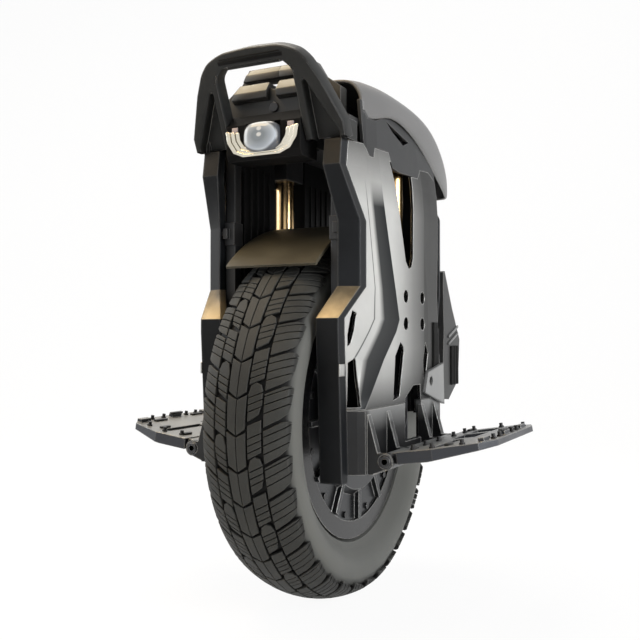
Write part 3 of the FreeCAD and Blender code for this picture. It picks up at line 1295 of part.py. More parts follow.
def hinge_pins():
    """Long pin of each pedal hinge, with a sunk round head in front."""
    end = GUSSETS[0] + GUSSET_THICK / 2
    start = GUSSETS[-1] - GUSSET_THICK / 2
    pin = rod(PIN_RADIUS, (start, PIVOT_Y, PIVOT_Z), (1, 0, 0), end - start)
    head = rod(PIN_RADIUS + PIN_STEP, (end - PIN_HEAD, PIVOT_Y, PIVOT_Z), (1, 0, 0), PIN_HEAD)
    key = rod(PIN_RADIUS / 2, (end - PIN_HEAD / 2, PIVOT_Y, PIVOT_Z), (1, 0, 0), PIN_HEAD)
    return both_sides(fuse([pin, head]).cut(key))


def on_hinge(shape):
    """Set a piece drawn flat about the hinge line at the left pedal's rest tilt."""
    shape.rotate(Vector(0, 0, 0), Vector(1, 0, 0), PEDAL_TILT_DEG)
    shape.translate(Vector(0, PIVOT_Y, PIVOT_Z))
    return shape


def pedal_barrels(low, root):
    """Hinge barrels between the gussets, each with its web to the plate."""
    solids = []
    for x0, x1 in zip(GUSSETS[1:], GUSSETS):
        start = x0 + GUSSET_THICK / 2 + BARREL_GAP
        length = x1 - x0 - GUSSET_THICK - 2 * BARREL_GAP
        solids.append(rod(BARREL_RADIUS, (start, 0, 0), (1, 0, 0), length))
        solids.append(box(start, start + length, 0, root + SKIP, low, BARREL_RADIUS - SKIP))
    return solids


def pedal():
    """Left folding pedal: tapered plate with windows, grip blocks and hinge barrels."""
    low = PEDAL_TOP - PEDAL_THICK
    root = BARREL_RADIUS + WINDOW_LIP
    tip = PEDAL_REACH
    heel = [(PEDAL_REAR + x, tip - y) for x, y in PEDAL_HEEL]
    toe = [(PEDAL_FRONT - x, tip - y) for x, y in PEDAL_TOE]
    outline = [(PEDAL_REAR, root)] + heel + toe + [(PEDAL_FRONT - WINDOW_LIP, root)]
    solids = [prism_xy(outline, low, PEDAL_TOP)] + pedal_barrels(low, root)
    for x, y in GRIP_BLOCKS:
        solids.append(box(x - 3 * BLOCK_HALF, x + 3 * BLOCK_HALF, y - BLOCK_HALF, y + BLOCK_HALF,
                          PEDAL_TOP - SKIP, PEDAL_TOP + BLOCK_HEIGHT))
    near, far = WINDOW_REACH
    wedge = [(near, low - SKIP), (tip + SKIP, low - SKIP), (tip + SKIP, low + PEDAL_THICK / 2)]
    thin = prism_yz(wedge, PEDAL_REAR - SKIP, PEDAL_FRONT + SKIP)
    windows = [box(x0, x1, near, far, low - SKIP, PEDAL_TOP + SKIP) for x0, x1 in PEDAL_WINDOWS]
    groove_rear = PEDAL_WINDOWS[1][1] + GROOVE_INSET
    groove = box(groove_rear, PEDAL_FRONT - 1.5 * GROOVE_INSET, GROOVE_REACH[0], GROOVE_REACH[1],
                 PEDAL_TOP - PIN_HEAD, PEDAL_TOP + SKIP)
    first = GUSSETS[-1] - GUSSET_THICK
    bore = rod(PIN_RADIUS + RUN_FIT, (first, 0, 0), (1, 0, 0), GUSSETS[0] - first + GUSSET_THICK)
    return on_hinge(fuse(solids).cut([thin, bore, groove] + windows))


def pedal_spikes():
    """Screwed-in spikes on the left pedal's tread."""
    spikes = []
    for x, y in SPIKES:
        base = rod(SPIKE_RADIUS + SKIP, (x, y, PEDAL_TOP), (0, 0, 1), SPIKE_HEIGHT / 3)
        point = rod(SPIKE_RADIUS, (x, y, PEDAL_TOP), (0, 0, 1), SPIKE_HEIGHT)
        spikes.append(on_hinge(fuse([base, point])))
    return group(spikes)


def pieces():
    """Every node of the assembly by name."""
    nodes = {
        "tyre": tyre(), "rim": rim(), "motor_cover_left": motor_cover(), "rotor_magnets": rotor_magnets(),
        "wheel_bearings": wheel_bearings(), "cover_screws": cover_screws(),
        "axle": axle(), "axle_nuts": axle_nuts(),
        "stator_core": stator_core(), "stator_coils": stator_coils(),
        "fork_leg_left": fork_leg(), "fork_bushes": fork_bushes(), "fork_wipers": fork_wipers(),
        "air_pistons": air_pistons(), "mudguard": mudguard(),
        "stanchions": both_sides(stanchion()), "stanchion_clamps": stanchion_clamps(),
        "upper_bridge": upper_bridge(), "bridge_screws": bridge_screws(),
        "side_panel_left": side_panel(), "upper_trims": both_sides(upper_trim()),
        "front_column_left": front_column(), "rear_columns": both_sides(rear_column()),
        "rear_bumpers": both_sides(rear_bumper()), "heel_plates": both_sides(heel_plate()),
        "battery_packs": battery_packs(),
        "battery_case_front_left": battery_case(CASE_BAY_FRONT, CASE_FRONT),
        "battery_case_rear_left": battery_case(CASE_REAR, CASE_BAY_REAR),
        "seat_cover": seat_cover(), "console": console(), "controller_board": controller_board(),
        "heat_sink": heat_sink(), "lamp_housing": lamp_housing(), "lamp_lens": lamp_lens(),
        "lamp_bezel": lamp_bezel(), "lamp_board": lamp_board(), "carry_handle": carry_handle(),
        "lift_paddle": lift_paddle(), "power_button": power_button(), "trolley_rails": trolley_rails(),
        "trolley_stage": trolley_stage(), "trolley_grip": trolley_grip(), "tail_cover": tail_cover(),
        "tail_lamp": tail_lamp(), "charge_socket": charge_socket(), "charge_cap": charge_cap(),
        "pedal_bracket_left": pedal_bracket(), "hinge_pins": hinge_pins(), "pedal_left": pedal(),
        "pedal_spikes_left": pedal_spikes(),
    }
    for name in [name for name in nodes if name.endswith("_left")]:
        nodes[name.replace("_left", "_right")] = mirrored(nodes[name])
    return nodes


os.makedirs("parts", exist_ok=True)
for node, shape in pieces().items():
    shape.exportStep("parts/" + node + ".step")
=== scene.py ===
import math
import bmesh
import bpy
from mathutils import Matrix, Vector


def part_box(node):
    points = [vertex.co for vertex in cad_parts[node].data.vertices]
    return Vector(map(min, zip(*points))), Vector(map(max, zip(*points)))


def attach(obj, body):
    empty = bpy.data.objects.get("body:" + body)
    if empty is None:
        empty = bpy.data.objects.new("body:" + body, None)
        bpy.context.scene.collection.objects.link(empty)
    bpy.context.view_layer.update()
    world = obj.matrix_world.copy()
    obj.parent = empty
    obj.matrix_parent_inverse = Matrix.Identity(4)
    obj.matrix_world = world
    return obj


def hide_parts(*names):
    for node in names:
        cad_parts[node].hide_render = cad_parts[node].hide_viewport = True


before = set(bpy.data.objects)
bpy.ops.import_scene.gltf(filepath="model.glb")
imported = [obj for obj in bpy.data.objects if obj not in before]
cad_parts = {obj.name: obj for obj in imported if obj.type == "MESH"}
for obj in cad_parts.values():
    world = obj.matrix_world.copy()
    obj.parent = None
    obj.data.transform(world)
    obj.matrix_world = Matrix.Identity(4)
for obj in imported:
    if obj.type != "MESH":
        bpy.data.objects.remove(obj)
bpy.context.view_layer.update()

# Studio: one pale sheet lies under the wheel and rises behind it in a wide curve, so that the
# ground has no horizon. It is lit evenly and stays white to the camera and in reflections.
view_turn = math.radians(27.31)
view_pitch = math.radians(1.04)
away = Vector((-math.cos(view_turn), -math.sin(view_turn), 0.0))
side = Vector((-away.y, away.x, 0.0))
floor_front = 2.6
floor_back = 1.4
floor_half = 4.0
sweep = 0.8
wall_high = 3.2
paper_glow = 0.94
dim_sky = 0.2
lamp_aim = Vector((0, 0, 0.3))


def only(made, kind):
    """The parts of one kind among what an operator made."""
    return [part for part in made["geom"] if isinstance(part, kind)]


def ranged(tree, value, low, high, start=0.0, end=1.0):
    """Value that runs from start to end while another one runs from low to high."""
    span = tree.nodes.new("ShaderNodeMapRange")
    for socket, number in (("From Min", low), ("From Max", high), ("To Min", start), ("To Max", end)):
        span.inputs[socket].default_value = number
    tree.links.new(value, span.inputs["Value"])
    return span.outputs["Result"]


def rays_seen(tree):
    """1 for a ray that the camera gets straight, mirrored or through glass."""
    rays = tree.nodes.new("ShaderNodeLightPath")
    seen = rays.outputs["Is Camera Ray"]
    for kind in ("Is Glossy Ray", "Is Transmission Ray"):
        either = tree.nodes.new("ShaderNodeMath")
        either.operation = "MAXIMUM"
        tree.links.new(seen, either.inputs[0])
        tree.links.new(rays.outputs[kind], either.inputs[1])
        seen = either.outputs[0]
    return seen


bm = bmesh.new()
start = away * -floor_front
near_edge = bm.edges.new([bm.verts.new(start - side * floor_half), bm.verts.new(start + side * floor_half)])
ground = bmesh.ops.extrude_edge_only(bm, edges=[near_edge])
bend = only(ground, bmesh.types.BMEdge)[:1]
bmesh.ops.translate(bm, verts=bend[0].verts, vec=away * (floor_front + floor_back))
bmesh.ops.spin(bm, geom=list(bend[0].verts) + bend, cent=away * floor_back + Vector((0, 0, sweep)),
               axis=side, angle=-math.pi / 2, steps=12)
bmesh.ops.remove_doubles(bm, verts=bm.verts, dist=1e-5)
back = [e for e in bm.edges if e.is_boundary and all(v.co.z > sweep - 0.01 for v in e.verts)
        and abs((e.verts[0].co - e.verts[1].co).dot(side)) > floor_half]
wall = bmesh.ops.extrude_edge_only(bm, edges=back)
bmesh.ops.translate(bm, verts=only(wall, bmesh.types.BMVert), vec=(0, 0, wall_high))
for face in bm.faces:
    face.smooth = True
bmesh.ops.recalc_face_normals(bm, faces=bm.faces)
mesh = bpy.data.meshes.new("studio_sheet")
bm.to_mesh(mesh)
bm.free()
sheet = bpy.data.objects.new("studio_sheet", mesh)
bpy.context.scene.collection.objects.link(sheet)
paper = bpy.data.materials.new("studio_paper")
paper.use_nodes = True
tree = paper.node_tree
board = tree.nodes["Principled BSDF"]
board.inputs["Base Color"].default_value = (0.9, 0.9, 0.9, 1)
board.inputs["Roughness"].default_value = 0.9
glow = tree.nodes.new("ShaderNodeEmission")
blend = tree.nodes.new("ShaderNodeMixShader")
tree.links.new(ranged(tree, rays_seen(tree), 0.0, 1.0, 0.0, paper_glow), blend.inputs[0])
tree.links.new(board.outputs[0], blend.inputs[1])
tree.links.new(glow.outputs[0], blend.inputs[2])
tree.links.new(blend.outputs[0], tree.nodes["Material Output"].inputs["Surface"])
mesh.materials.append(paper)
world = bpy.data.worlds.new("studio")
bpy.context.scene.world = world
world.use_nodes = True
tree = world.node_tree
sky = tree.nodes["Background"]
sky.inputs["Color"].default_value = (1, 1, 1, 1)
tree.links.new(ranged(tree, rays_seen(tree), 0.0, 1.0, dim_sky, 1.0), sky.inputs["Strength"])
for name, place, size, power, tint in (("side", (0.3, 2.2, 1.0), 1.3, 46, (1.0, 1.0, 1.0)),
                                       ("far", (0.7, -2.0, 1.2), 1.0, 16, (0.9, 0.95, 1.0)),
                                       ("warm", (0.45, -0.3, 1.05), 0.35, 5, (1.0, 0.74, 0.42)),
                                       ("top", (-0.2, -0.7, 2.1), 1.4, 44, (1.0, 0.93, 0.82))):
    lamp = bpy.data.lights.new(name, "AREA")
    lamp.color = tint
    lamp.size = size
    lamp.energy = power
    obj = bpy.data.objects.new(name, lamp)
    obj.location = place
    obj.rotation_euler = (lamp_aim - Vector(place)).to_track_quat("-Z", "Y").to_euler()
    obj.visible_camera = False
    bpy.context.scene.collection.objects.link(obj)
camera = bpy.data.cameras.new("camera")
camera.lens = 48.37
camera.sensor_width = 36.0
view = bpy.data.objects.new("camera", camera)
view.location = (0.8939, 0.4463, 0.2958)
look = away * math.cos(view_pitch) + Vector((0, 0, math.sin(view_pitch)))
view.rotation_euler = look.to_track_quat("-Z", "Y").to_euler()
bpy.context.scene.collection.objects.link(view)
bpy.context.scene.camera = view
bpy.context.scene.view_settings.view_transform = "Standard"

# Rounded edges: every moulding and casting has small radii that catch the light and wear first.
# The group gives the rounded normal and a mask of the ridge, which the finishes paint in an edge colour that
# is partly wear and partly a painted highlight.
edges_group = bpy.data.node_groups.new("rounded_edges", "ShaderNodeTree")
edges_group.interface.new_socket("Radius", in_out="INPUT", socket_type="NodeSocketFloat")
edges_group.interface.new_socket("Edge", in_out="OUTPUT", socket_type="NodeSocketFloat")
edges_group.interface.new_socket("Normal", in_out="OUTPUT", socket_type="NodeSocketVector")
nodes = edges_group.nodes
links = edges_group.links
entry = nodes.new("NodeGroupInput")
leave = nodes.new("NodeGroupOutput")
rounding = nodes.new("ShaderNodeBevel")
rounding.samples = 4
flat = nodes.new("ShaderNodeNewGeometry")
match = nodes.new("ShaderNodeVectorMath")
match.operation = "DOT_PRODUCT"
links.new(entry.outputs["Radius"], rounding.inputs["Radius"])
links.new(rounding.outputs["Normal"], match.inputs[0])
links.new(flat.outputs["Normal"], match.inputs[1])
links.new(ranged(edges_group, match.outputs["Value"], 0.99, 0.8), leave.inputs["Edge"])
links.new(rounding.outputs["Normal"], leave.inputs["Normal"])

# Moulded grain: spark-eroded moulds and blasted castings leave a fine even texture, and handling
# leaves broad soft differences of tone. The group gives both as a normal and a value.
grain_group = bpy.data.node_groups.new("moulded_grain", "ShaderNodeTree")
for name, kind in (("Grain", "NodeSocketFloat"), ("Depth", "NodeSocketFloat"), ("Patch", "NodeSocketFloat"),
                   ("Normal", "NodeSocketVector")):
    grain_group.interface.new_socket(name, in_out="INPUT", socket_type=kind)
grain_group.interface.new_socket("Tone", in_out="OUTPUT", socket_type="NodeSocketFloat")
grain_group.interface.new_socket("Normal", in_out="OUTPUT", socket_type="NodeSocketVector")
nodes = grain_group.nodes
links = grain_group.links
entry = nodes.new("NodeGroupInput")
leave = nodes.new("NodeGroupOutput")
where = nodes.new("ShaderNodeTexCoord")
fine = nodes.new("ShaderNodeTexNoise")
fine.inputs["Detail"].default_value = 2.0
broad = nodes.new("ShaderNodeTexNoise")
broad.inputs["Detail"].default_value = 4.0
broad.inputs["Roughness"].default_value = 0.6
bump = nodes.new("ShaderNodeBump")
bump.inputs["Distance"].default_value = 0.0006
summed = nodes.new("ShaderNodeMath")
summed.operation = "MULTIPLY_ADD"
summed.inputs[1].default_value = 0.25
links.new(where.outputs["Object"], fine.inputs["Vector"])
links.new(where.outputs["Object"], broad.inputs["Vector"])
links.new(entry.outputs["Grain"], fine.inputs["Scale"])
links.new(entry.outputs["Patch"], broad.inputs["Scale"])
links.new(entry.outputs["Depth"], bump.inputs["Strength"])
links.new(entry.outputs["Normal"], bump.inputs["Normal"])
links.new(fine.outputs["Fac"], bump.inputs["Height"])
links.new(fine.outputs["Fac"], summed.inputs[0])
links.new(broad.outputs["Fac"], summed.inputs[2])
links.new(ranged(grain_group, summed.outputs[0], 0.4, 0.85), leave.inputs["Tone"])
links.new(bump.outputs["Normal"], leave.inputs["Normal"])

# Tyre: a tubeless road tyre of black rubber. The carcass is a turned wall with beads inside the
# rim flanges. The tread is vulcanised on it in 18 repeats of two arrows, pads and shoulder blocks.
axle_z = 0.205
crown_r = 0.205
crown_arc = 0.08667
crown_half = 0.044
crown_end = math.asin(crown_half / crown_arc)
edge_arc = 0.012
tread_deep = 0.0045
sipe_wide = 0.0009
block_edge = 0.0005
block_slant = 0.45
facet = 0.0101
pad_shift = {1: 0.009, -1: -0.006}
pad_sipe = 0.0062
pad_back = 0.0085
pad_stagger = 0.0005
lug_shift = {1: 0.003, -1: -0.012}
lug_sipe = 0.0076
lug_back = 0.0165
repeats = 18
pitch_u = 2 * math.pi * crown_r / repeats
shoulder_r = 0.187
pale_r = 0.178


def whole(bm):
    """Every vertex, edge and face of a mesh."""
    return bm.verts[:] + bm.edges[:] + bm.faces[:]


def soften(bm, edges, radius, segments=2):
    """Round some edges of a mesh."""
    bmesh.ops.bevel(bm, geom=edges, offset=radius, affect="EDGES", segments=segments, profile=0.5,
                    material=-1)


def join(bm, part):
    """Add a finished mesh to another one."""
    made = bpy.data.meshes.new("part")
    part.to_mesh(made)
    part.free()
    bm.from_mesh(made)
    bpy.data.meshes.remove(made)


def tread_place(u, t, h):
    """Point of the tread: along the circumference, across from the crown line, above the groove floor."""
    across = abs(t)
    bend = crown_end * crown_arc
    if across < bend:
        lean = across / crown_arc
        y = crown_arc * math.sin(lean)
        r = crown_r - crown_arc + crown_arc * math.cos(lean)
    else:
        lean = crown_end + (across - bend) / edge_arc
        y = (crown_arc - edge_arc) * math.sin(crown_end) + edge_arc * math.sin(lean)
        r = crown_r - crown_arc + (crown_arc - edge_arc) * math.cos(crown_end) + edge_arc * math.cos(lean)
    y += (h - tread_deep) * math.sin(lean)
    r += (h - tread_deep) * math.cos(lean)
    angle = u / crown_r
    return Vector((r * math.cos(angle), math.copysign(y, t), axle_z + r * math.sin(angle)))


def tread_block(bm, outline, sipes=(), slant=(0.0, 1.0)):
    """Flat block of rubber, cut through by narrow sipes across the given direction."""
    normal = Vector((*slant, 0)).normalized()
    bounds = [None, *sipes, None]
    for low, high in zip(bounds, bounds[1:]):
        lump = bmesh.new()
        lump.faces.new([lump.verts.new((t, u, 0)) for t, u in outline])
        for level, sense in ((low, 1), (high, -1)):
            if level is not None:
                bmesh.ops.bisect_plane(lump, geom=whole(lump), dist=1e-6, plane_no=normal * sense,
                                       plane_co=normal * (level + sense * sipe_wide / 2), clear_inner=True)
        if lump.faces:
            top = bmesh.ops.extrude_face_region(lump, geom=lump.faces[:])
            bmesh.ops.translate(lump, verts=only(top, bmesh.types.BMVert), vec=(0, 0, tread_deep))
            rims = [e for e in lump.edges if all(v.co.z > tread_deep / 2 for v in e.verts)]
            soften(lump, rims, block_edge, segments=1)
            for k in range(-6, 7):
                for way in (Vector((1, 0, 0)), Vector((0, 1, 0))):
                    bmesh.ops.bisect_plane(lump, geom=whole(lump), dist=1e-6, plane_co=way * facet * k,
                                           plane_no=way)
        join(bm, lump)


arrow = [(0.0004, 0.0118), (0.0108, 0.0170), (0.0098, -0.0158), (0.0004, -0.0218)]
cut_pad = [(0.0126, -0.0175), (0.0236, -0.0105), (0.0264, 0.0000), (0.0264, 0.0130), (0.0244, 0.0185),
           (0.0192, 0.0205), (0.0146, 0.0175), (0.0122, 0.0090)]
square_pad = [(0.0122, -0.0178), (0.0262, -0.0108), (0.0264, 0.0205), (0.0126, 0.0145)]
lug = [(0.0284, -0.0165), (0.0440, -0.0085), (0.0530, -0.0015), (0.0560, 0.0080), (0.0585, 0.0250),
       (0.0540, 0.0265), (0.0460, 0.0248), (0.0284, 0.0158)]
flat_tread = bmesh.new()
for k in (-0.5, 0.5):
    arrow_u = k * pitch_u / 2
    for s in (-1, 1):
        slant = (-block_slant * s, 1.0)
        pad = cut_pad if (k > 0) == (s > 0) else square_pad
        pad_u = arrow_u + pad_shift[s]
        lug_u = arrow_u + lug_shift[s]
        tread_block(flat_tread, [(s * t, arrow_u + u) for t, u in arrow])
        tread_block(flat_tread, [(s * t, pad_u + u) for t, u in pad], slant=slant,
                    sipes=[pad_u - s * pad_stagger - pad_back + pad_sipe * j for j in (-1, 0, 1)])
        tread_block(flat_tread, [(s * t, lug_u + u) for t, u in lug], slant=slant,
                    sipes=[lug_u - lug_back + lug_sipe * j for j in (0, 1, 2)])
tread_mesh = bpy.data.meshes.new("flat_tread")
flat_tread.to_mesh(tread_mesh)
flat_tread.free()
bm = bmesh.new()
for k in range(repeats):
    bm.from_mesh(tread_mesh)
    bm.verts.ensure_lookup_table()
    for v in bm.verts[k * len(tread_mesh.vertices):]:
        v.co = tread_place(v.co.y + k * pitch_u, v.co.x, v.co.z)
bpy.data.meshes.remove(tread_mesh)
half_wall = [(0.0, 0.2008), (0.0150, 0.1995), (0.0290, 0.1957), (0.0390, 0.1909), (0.0425, 0.1885),
             (0.0455, 0.1845), (0.0472, 0.1800), (0.0490, 0.1770), (0.0500, 0.1720), (0.0496, 0.1660),
             (0.0478, 0.1600), (0.0440, 0.1550), (0.0392, 0.1490), (0.0348, 0.1432), (0.0342, 0.1412),
             (0.0276, 0.1390), (0.0276, 0.1275), (0.0216, 0.1275), (0.0216, 0.1380), (0.0380, 0.1580),
             (0.0440, 0.1720), (0.0370, 0.1810), (0.0, 0.1890)]
carcass = bmesh.new()
profile = [carcass.verts.new((r, y, axle_z))
           for y, r in half_wall + [(-y, r) for y, r in reversed(half_wall[1:-1])]]
loop = [carcass.edges.new(pair) for pair in zip(profile, profile[1:] + profile[:1])]
bmesh.ops.spin(carcass, geom=profile + loop, cent=(0, 0, axle_z), axis=(0, 1, 0), angle=2 * math.pi,
               steps=120, use_merge=True)
bmesh.ops.remove_doubles(carcass, verts=carcass.verts, dist=1e-6)
join(bm, carcass)


def finish(name, dark, light, rough, metal=0.0, grain=900.0, depth=0.12, patch=18.0, radius=0.0015, edge_wear_and_highlight=None,
           shine=0.5):
    """Material of one finish: two tones, a roughness range, grain and rounded edges in a colour that is
    partly wear and partly a painted highlight.
    """
    mat = bpy.data.materials.new(name)
    mat.use_nodes = True
    tree = mat.node_tree
    shader = tree.nodes["Principled BSDF"]
    shader.inputs["Metallic"].default_value = metal
    shader.inputs["Specular IOR Level"].default_value = shine
    rounded = tree.nodes.new("ShaderNodeGroup")
    rounded.node_tree = edges_group
    rounded.inputs["Radius"].default_value = radius
    grained = tree.nodes.new("ShaderNodeGroup")
    grained.node_tree = grain_group
    grained.inputs["Grain"].default_value = grain
    grained.inputs["Depth"].default_value = depth
    grained.inputs["Patch"].default_value = patch
    tones = tree.nodes.new("ShaderNodeMix")
    tones.data_type = "RGBA"
    tones.inputs["A"].default_value = (*dark, 1)
    tones.inputs["B"].default_value = (*light, 1)
    wear_and_highlight_mix = tree.nodes.new("ShaderNodeMix")
    wear_and_highlight_mix.data_type = "RGBA"
    wear_and_highlight_mix.inputs["B"].default_value = (*(edge_wear_and_highlight or light), 1)
    tree.links.new(rounded.outputs["Normal"], grained.inputs["Normal"])
    tree.links.new(grained.outputs["Tone"], tones.inputs["Factor"])
    tree.links.new(tones.outputs["Result"], wear_and_highlight_mix.inputs["A"])
    tree.links.new(rounded.outputs["Edge"], wear_and_highlight_mix.inputs["Factor"])
    tree.links.new(wear_and_highlight_mix.outputs["Result"], shader.inputs["Base Color"])
    tree.links.new(ranged(tree, grained.outputs["Tone"], 0.0, 1.0, *rough), shader.inputs["Roughness"])
    tree.links.new(grained.outputs["Normal"], shader.inputs["Normal"])
    return mat


def lay(mat, colour, mask, kind="MIX", under_worn_and_lit_edges=False):
    """Lay a colour on a finish where a mask is 1, over or under the wear and painted highlight of its edges.
    """
    tree = mat.node_tree
    coat = tree.nodes["Principled BSDF"].inputs["Base Color"]
    if under_worn_and_lit_edges:
        coat = coat.links[0].from_node.inputs["A"]
    mix = tree.nodes.new("ShaderNodeMix")
    mix.data_type = "RGBA"
    mix.blend_type = kind
    tree.links.new(coat.links[0].from_socket, mix.inputs["A"])
    for value, socket in ((colour, mix.inputs["B"]), (mask, mix.inputs["Factor"])):
        if isinstance(value, bpy.types.NodeSocket):
            tree.links.new(value, socket)
        else:
            socket.default_value = value
    tree.links.new(mix.outputs["Result"], coat)


def parts_of(tree, kind):
    """X, Y and Z of a piece's own Object place or Normal."""
    where = tree.nodes.new("ShaderNodeTexCoord")
    split = tree.nodes.new("ShaderNodeSeparateXYZ")
    tree.links.new(where.outputs[kind], split.inputs["Vector"])
    return split.outputs


def times(tree, a, b):
    """Product of two masks."""
    product = tree.nodes.new("ShaderNodeMath")
    product.operation = "MULTIPLY"
    tree.links.new(a, product.inputs[0])
    tree.links.new(b, product.inputs[1])
    return product.outputs[0]


def length_of(tree, vector):
    """Length of a vector."""
    reach = tree.nodes.new("ShaderNodeVectorMath")
    reach.operation = "LENGTH"
    tree.links.new(vector, reach.inputs[0])
    return reach.outputs["Value"]


def dress(mat, *names):
    """Give CAD nodes a finish."""
    for name in names:
        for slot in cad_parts[name].material_slots:
            slot.material = mat


def piece(bm, name, mat, body, smooth=30.0):
    """Make a finished mesh a piece that rides on a body and takes a slot's finish."""
    bmesh.ops.recalc_face_normals(bm, faces=bm.faces)
    for face in bm.faces:
        face.smooth = True
    for edge in bm.edges:
        edge.smooth = edge.calc_face_angle(0.0) < math.radians(smooth)
    mesh = bpy.data.meshes.new(name)
    bm.to_mesh(mesh)
    bm.free()
    mesh.materials.append(mat)
    obj = bpy.data.objects.new(name, mesh)
    bpy.context.scene.collection.objects.link(obj)
    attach(obj, body)
    return obj


# The tyre's edge colour puts a pale painted highlight on the rims of the tread blocks.
rubber = finish("tyre_rubber", (0.022, 0.0226, 0.0215), (0.042, 0.043, 0.041), (0.55, 0.7), grain=700.0,
                depth=0.2, radius=0.0006, edge_wear_and_highlight=(0.09, 0.09, 0.085), shine=0.2)
tree = rubber.node_tree
where = tree.nodes.new("ShaderNodeTexCoord")
centred = tree.nodes.new("ShaderNodeMapping")
centred.inputs["Location"].default_value = (0, 0, -axle_z)
centred.inputs["Scale"].default_value = (1, 0, 1)
tree.links.new(where.outputs["Object"], centred.inputs["Vector"])
radius = length_of(tree, centred.outputs["Vector"])
from_arc = tree.nodes.new("ShaderNodeMath")
from_arc.operation = "SUBTRACT"
from_arc.inputs[1].default_value = crown_r - crown_arc
section = tree.nodes.new("ShaderNodeCombineXYZ")
tree.links.new(radius, from_arc.inputs[0])
tree.links.new(from_arc.outputs[0], section.inputs["X"])
tree.links.new(parts_of(tree, "Object")["Y"], section.inputs["Y"])
shaded_groove_floor = ranged(tree, length_of(tree, section.outputs["Vector"]), crown_arc - 0.0012,
                      crown_arc - tread_deep + 0.0006)
tread_zone = ranged(tree, radius, shoulder_r - 0.004, shoulder_r)
lay(rubber, (0.115, 0.118, 0.112, 1), ranged(tree, radius, shoulder_r, pale_r))
# Painted shade: the groove floors between the tread blocks are painted near black.
lay(rubber, (0.002, 0.002, 0.002, 1), times(tree, shaded_groove_floor, tread_zone))
tyre = piece(bm, "tyre_with_tread", rubber, "wheel")
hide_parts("tyre")
dress(rubber, "tyre")

# Wheel: a cast black rim whose flange lips carry a bright painted highlight, closed by two ribbed
# motor covers, their rib edges also painted bright, that are held by a circle of black screws. The magnet
# ring, stator and bearings of the hub motor are inside.
rim_black = finish("rim_black", (0.007, 0.0073, 0.008), (0.013, 0.0135, 0.0145), (0.16, 0.28), metal=0.2,
                   grain=500.0, radius=0.002, edge_wear_and_highlight=(0.42, 0.42, 0.41))
dress(rim_black, "rim")
motor_grey = finish("motor_grey", (0.03, 0.032, 0.035), (0.055, 0.057, 0.06), (0.25, 0.4), metal=0.7,
                    grain=700.0, depth=0.1, radius=0.0016, edge_wear_and_highlight=(0.5, 0.5, 0.49))
dress(motor_grey, "motor_cover_left", "motor_cover_right")
magnet_metal = finish("magnet_metal", (0.35, 0.35, 0.36), (0.5, 0.5, 0.5), (0.25, 0.4), metal=1.0)
dress(magnet_metal, "rotor_magnets")
bearing_steel = finish("bearing_steel", (0.45, 0.45, 0.46), (0.6, 0.6, 0.6), (0.18, 0.3), metal=1.0,
                       radius=0.0008)
dress(bearing_steel, "wheel_bearings", "axle")
screw_black = finish("screw_black", (0.03, 0.03, 0.032), (0.06, 0.06, 0.062), (0.3, 0.45), metal=0.8,
                     radius=0.0006, edge_wear_and_highlight=(0.3, 0.3, 0.3))
dress(screw_black, "cover_screws", "axle_nuts", "bridge_screws", "hinge_pins")
core_iron = finish("core_iron", (0.16, 0.16, 0.17), (0.26, 0.26, 0.27), (0.4, 0.6), metal=0.9, grain=1500.0)
dress(core_iron, "stator_core")
coil_copper = finish("coil_copper", (0.35, 0.13, 0.05), (0.62, 0.28, 0.11), (0.25, 0.4), metal=0.9,
                     grain=1200.0, depth=0.4)
dress(coil_copper, "stator_coils")

# Suspension: black fork legs on the axle, with plastic bushes and rubber wipers, slide on gold
# coated tubes that are clamped under the bridge. The legs carry the mudguard over the tyre.
leg_black = finish("leg_black", (0.012, 0.012, 0.014), (0.022, 0.023, 0.026), (0.35, 0.5), metal=0.3,
                   edge_wear_and_highlight=(0.12, 0.12, 0.125), shine=0.2)
dress(leg_black, "fork_leg_left", "fork_leg_right")
bush_plastic = finish("bush_plastic", (0.2, 0.16, 0.1), (0.33, 0.27, 0.18), (0.4, 0.55))
dress(bush_plastic, "fork_bushes")
seal_rubber = finish("seal_rubber", (0.01, 0.01, 0.01), (0.02, 0.02, 0.02), (0.55, 0.75), depth=0.3)
dress(seal_rubber, "fork_wipers")
plain_alloy = finish("plain_alloy", (0.36, 0.37, 0.38), (0.5, 0.51, 0.52), (0.28, 0.42), metal=1.0,
                     grain=1400.0)
dress(plain_alloy, "air_pistons")
gold_tube = finish("gold_tube", (0.6, 0.39, 0.17), (0.78, 0.55, 0.29), (0.18, 0.28), metal=1.0, grain=1800.0,
                   depth=0.05, radius=0.0006)
dress(gold_tube, "stanchions")
dark_alloy = finish("dark_alloy", (0.012, 0.0125, 0.0135), (0.022, 0.023, 0.025), (0.38, 0.52), metal=0.3,
                    grain=1300.0, edge_wear_and_highlight=(0.07, 0.07, 0.07))
dress(dark_alloy, "stanchion_clamps")
guard_black = finish("guard_black", (0.038, 0.033, 0.022), (0.068, 0.06, 0.041), (0.45, 0.6), grain=600.0,
                     depth=0.2, edge_wear_and_highlight=(0.14, 0.13, 0.1), shine=0.25)
dress(guard_black, "mudguard")

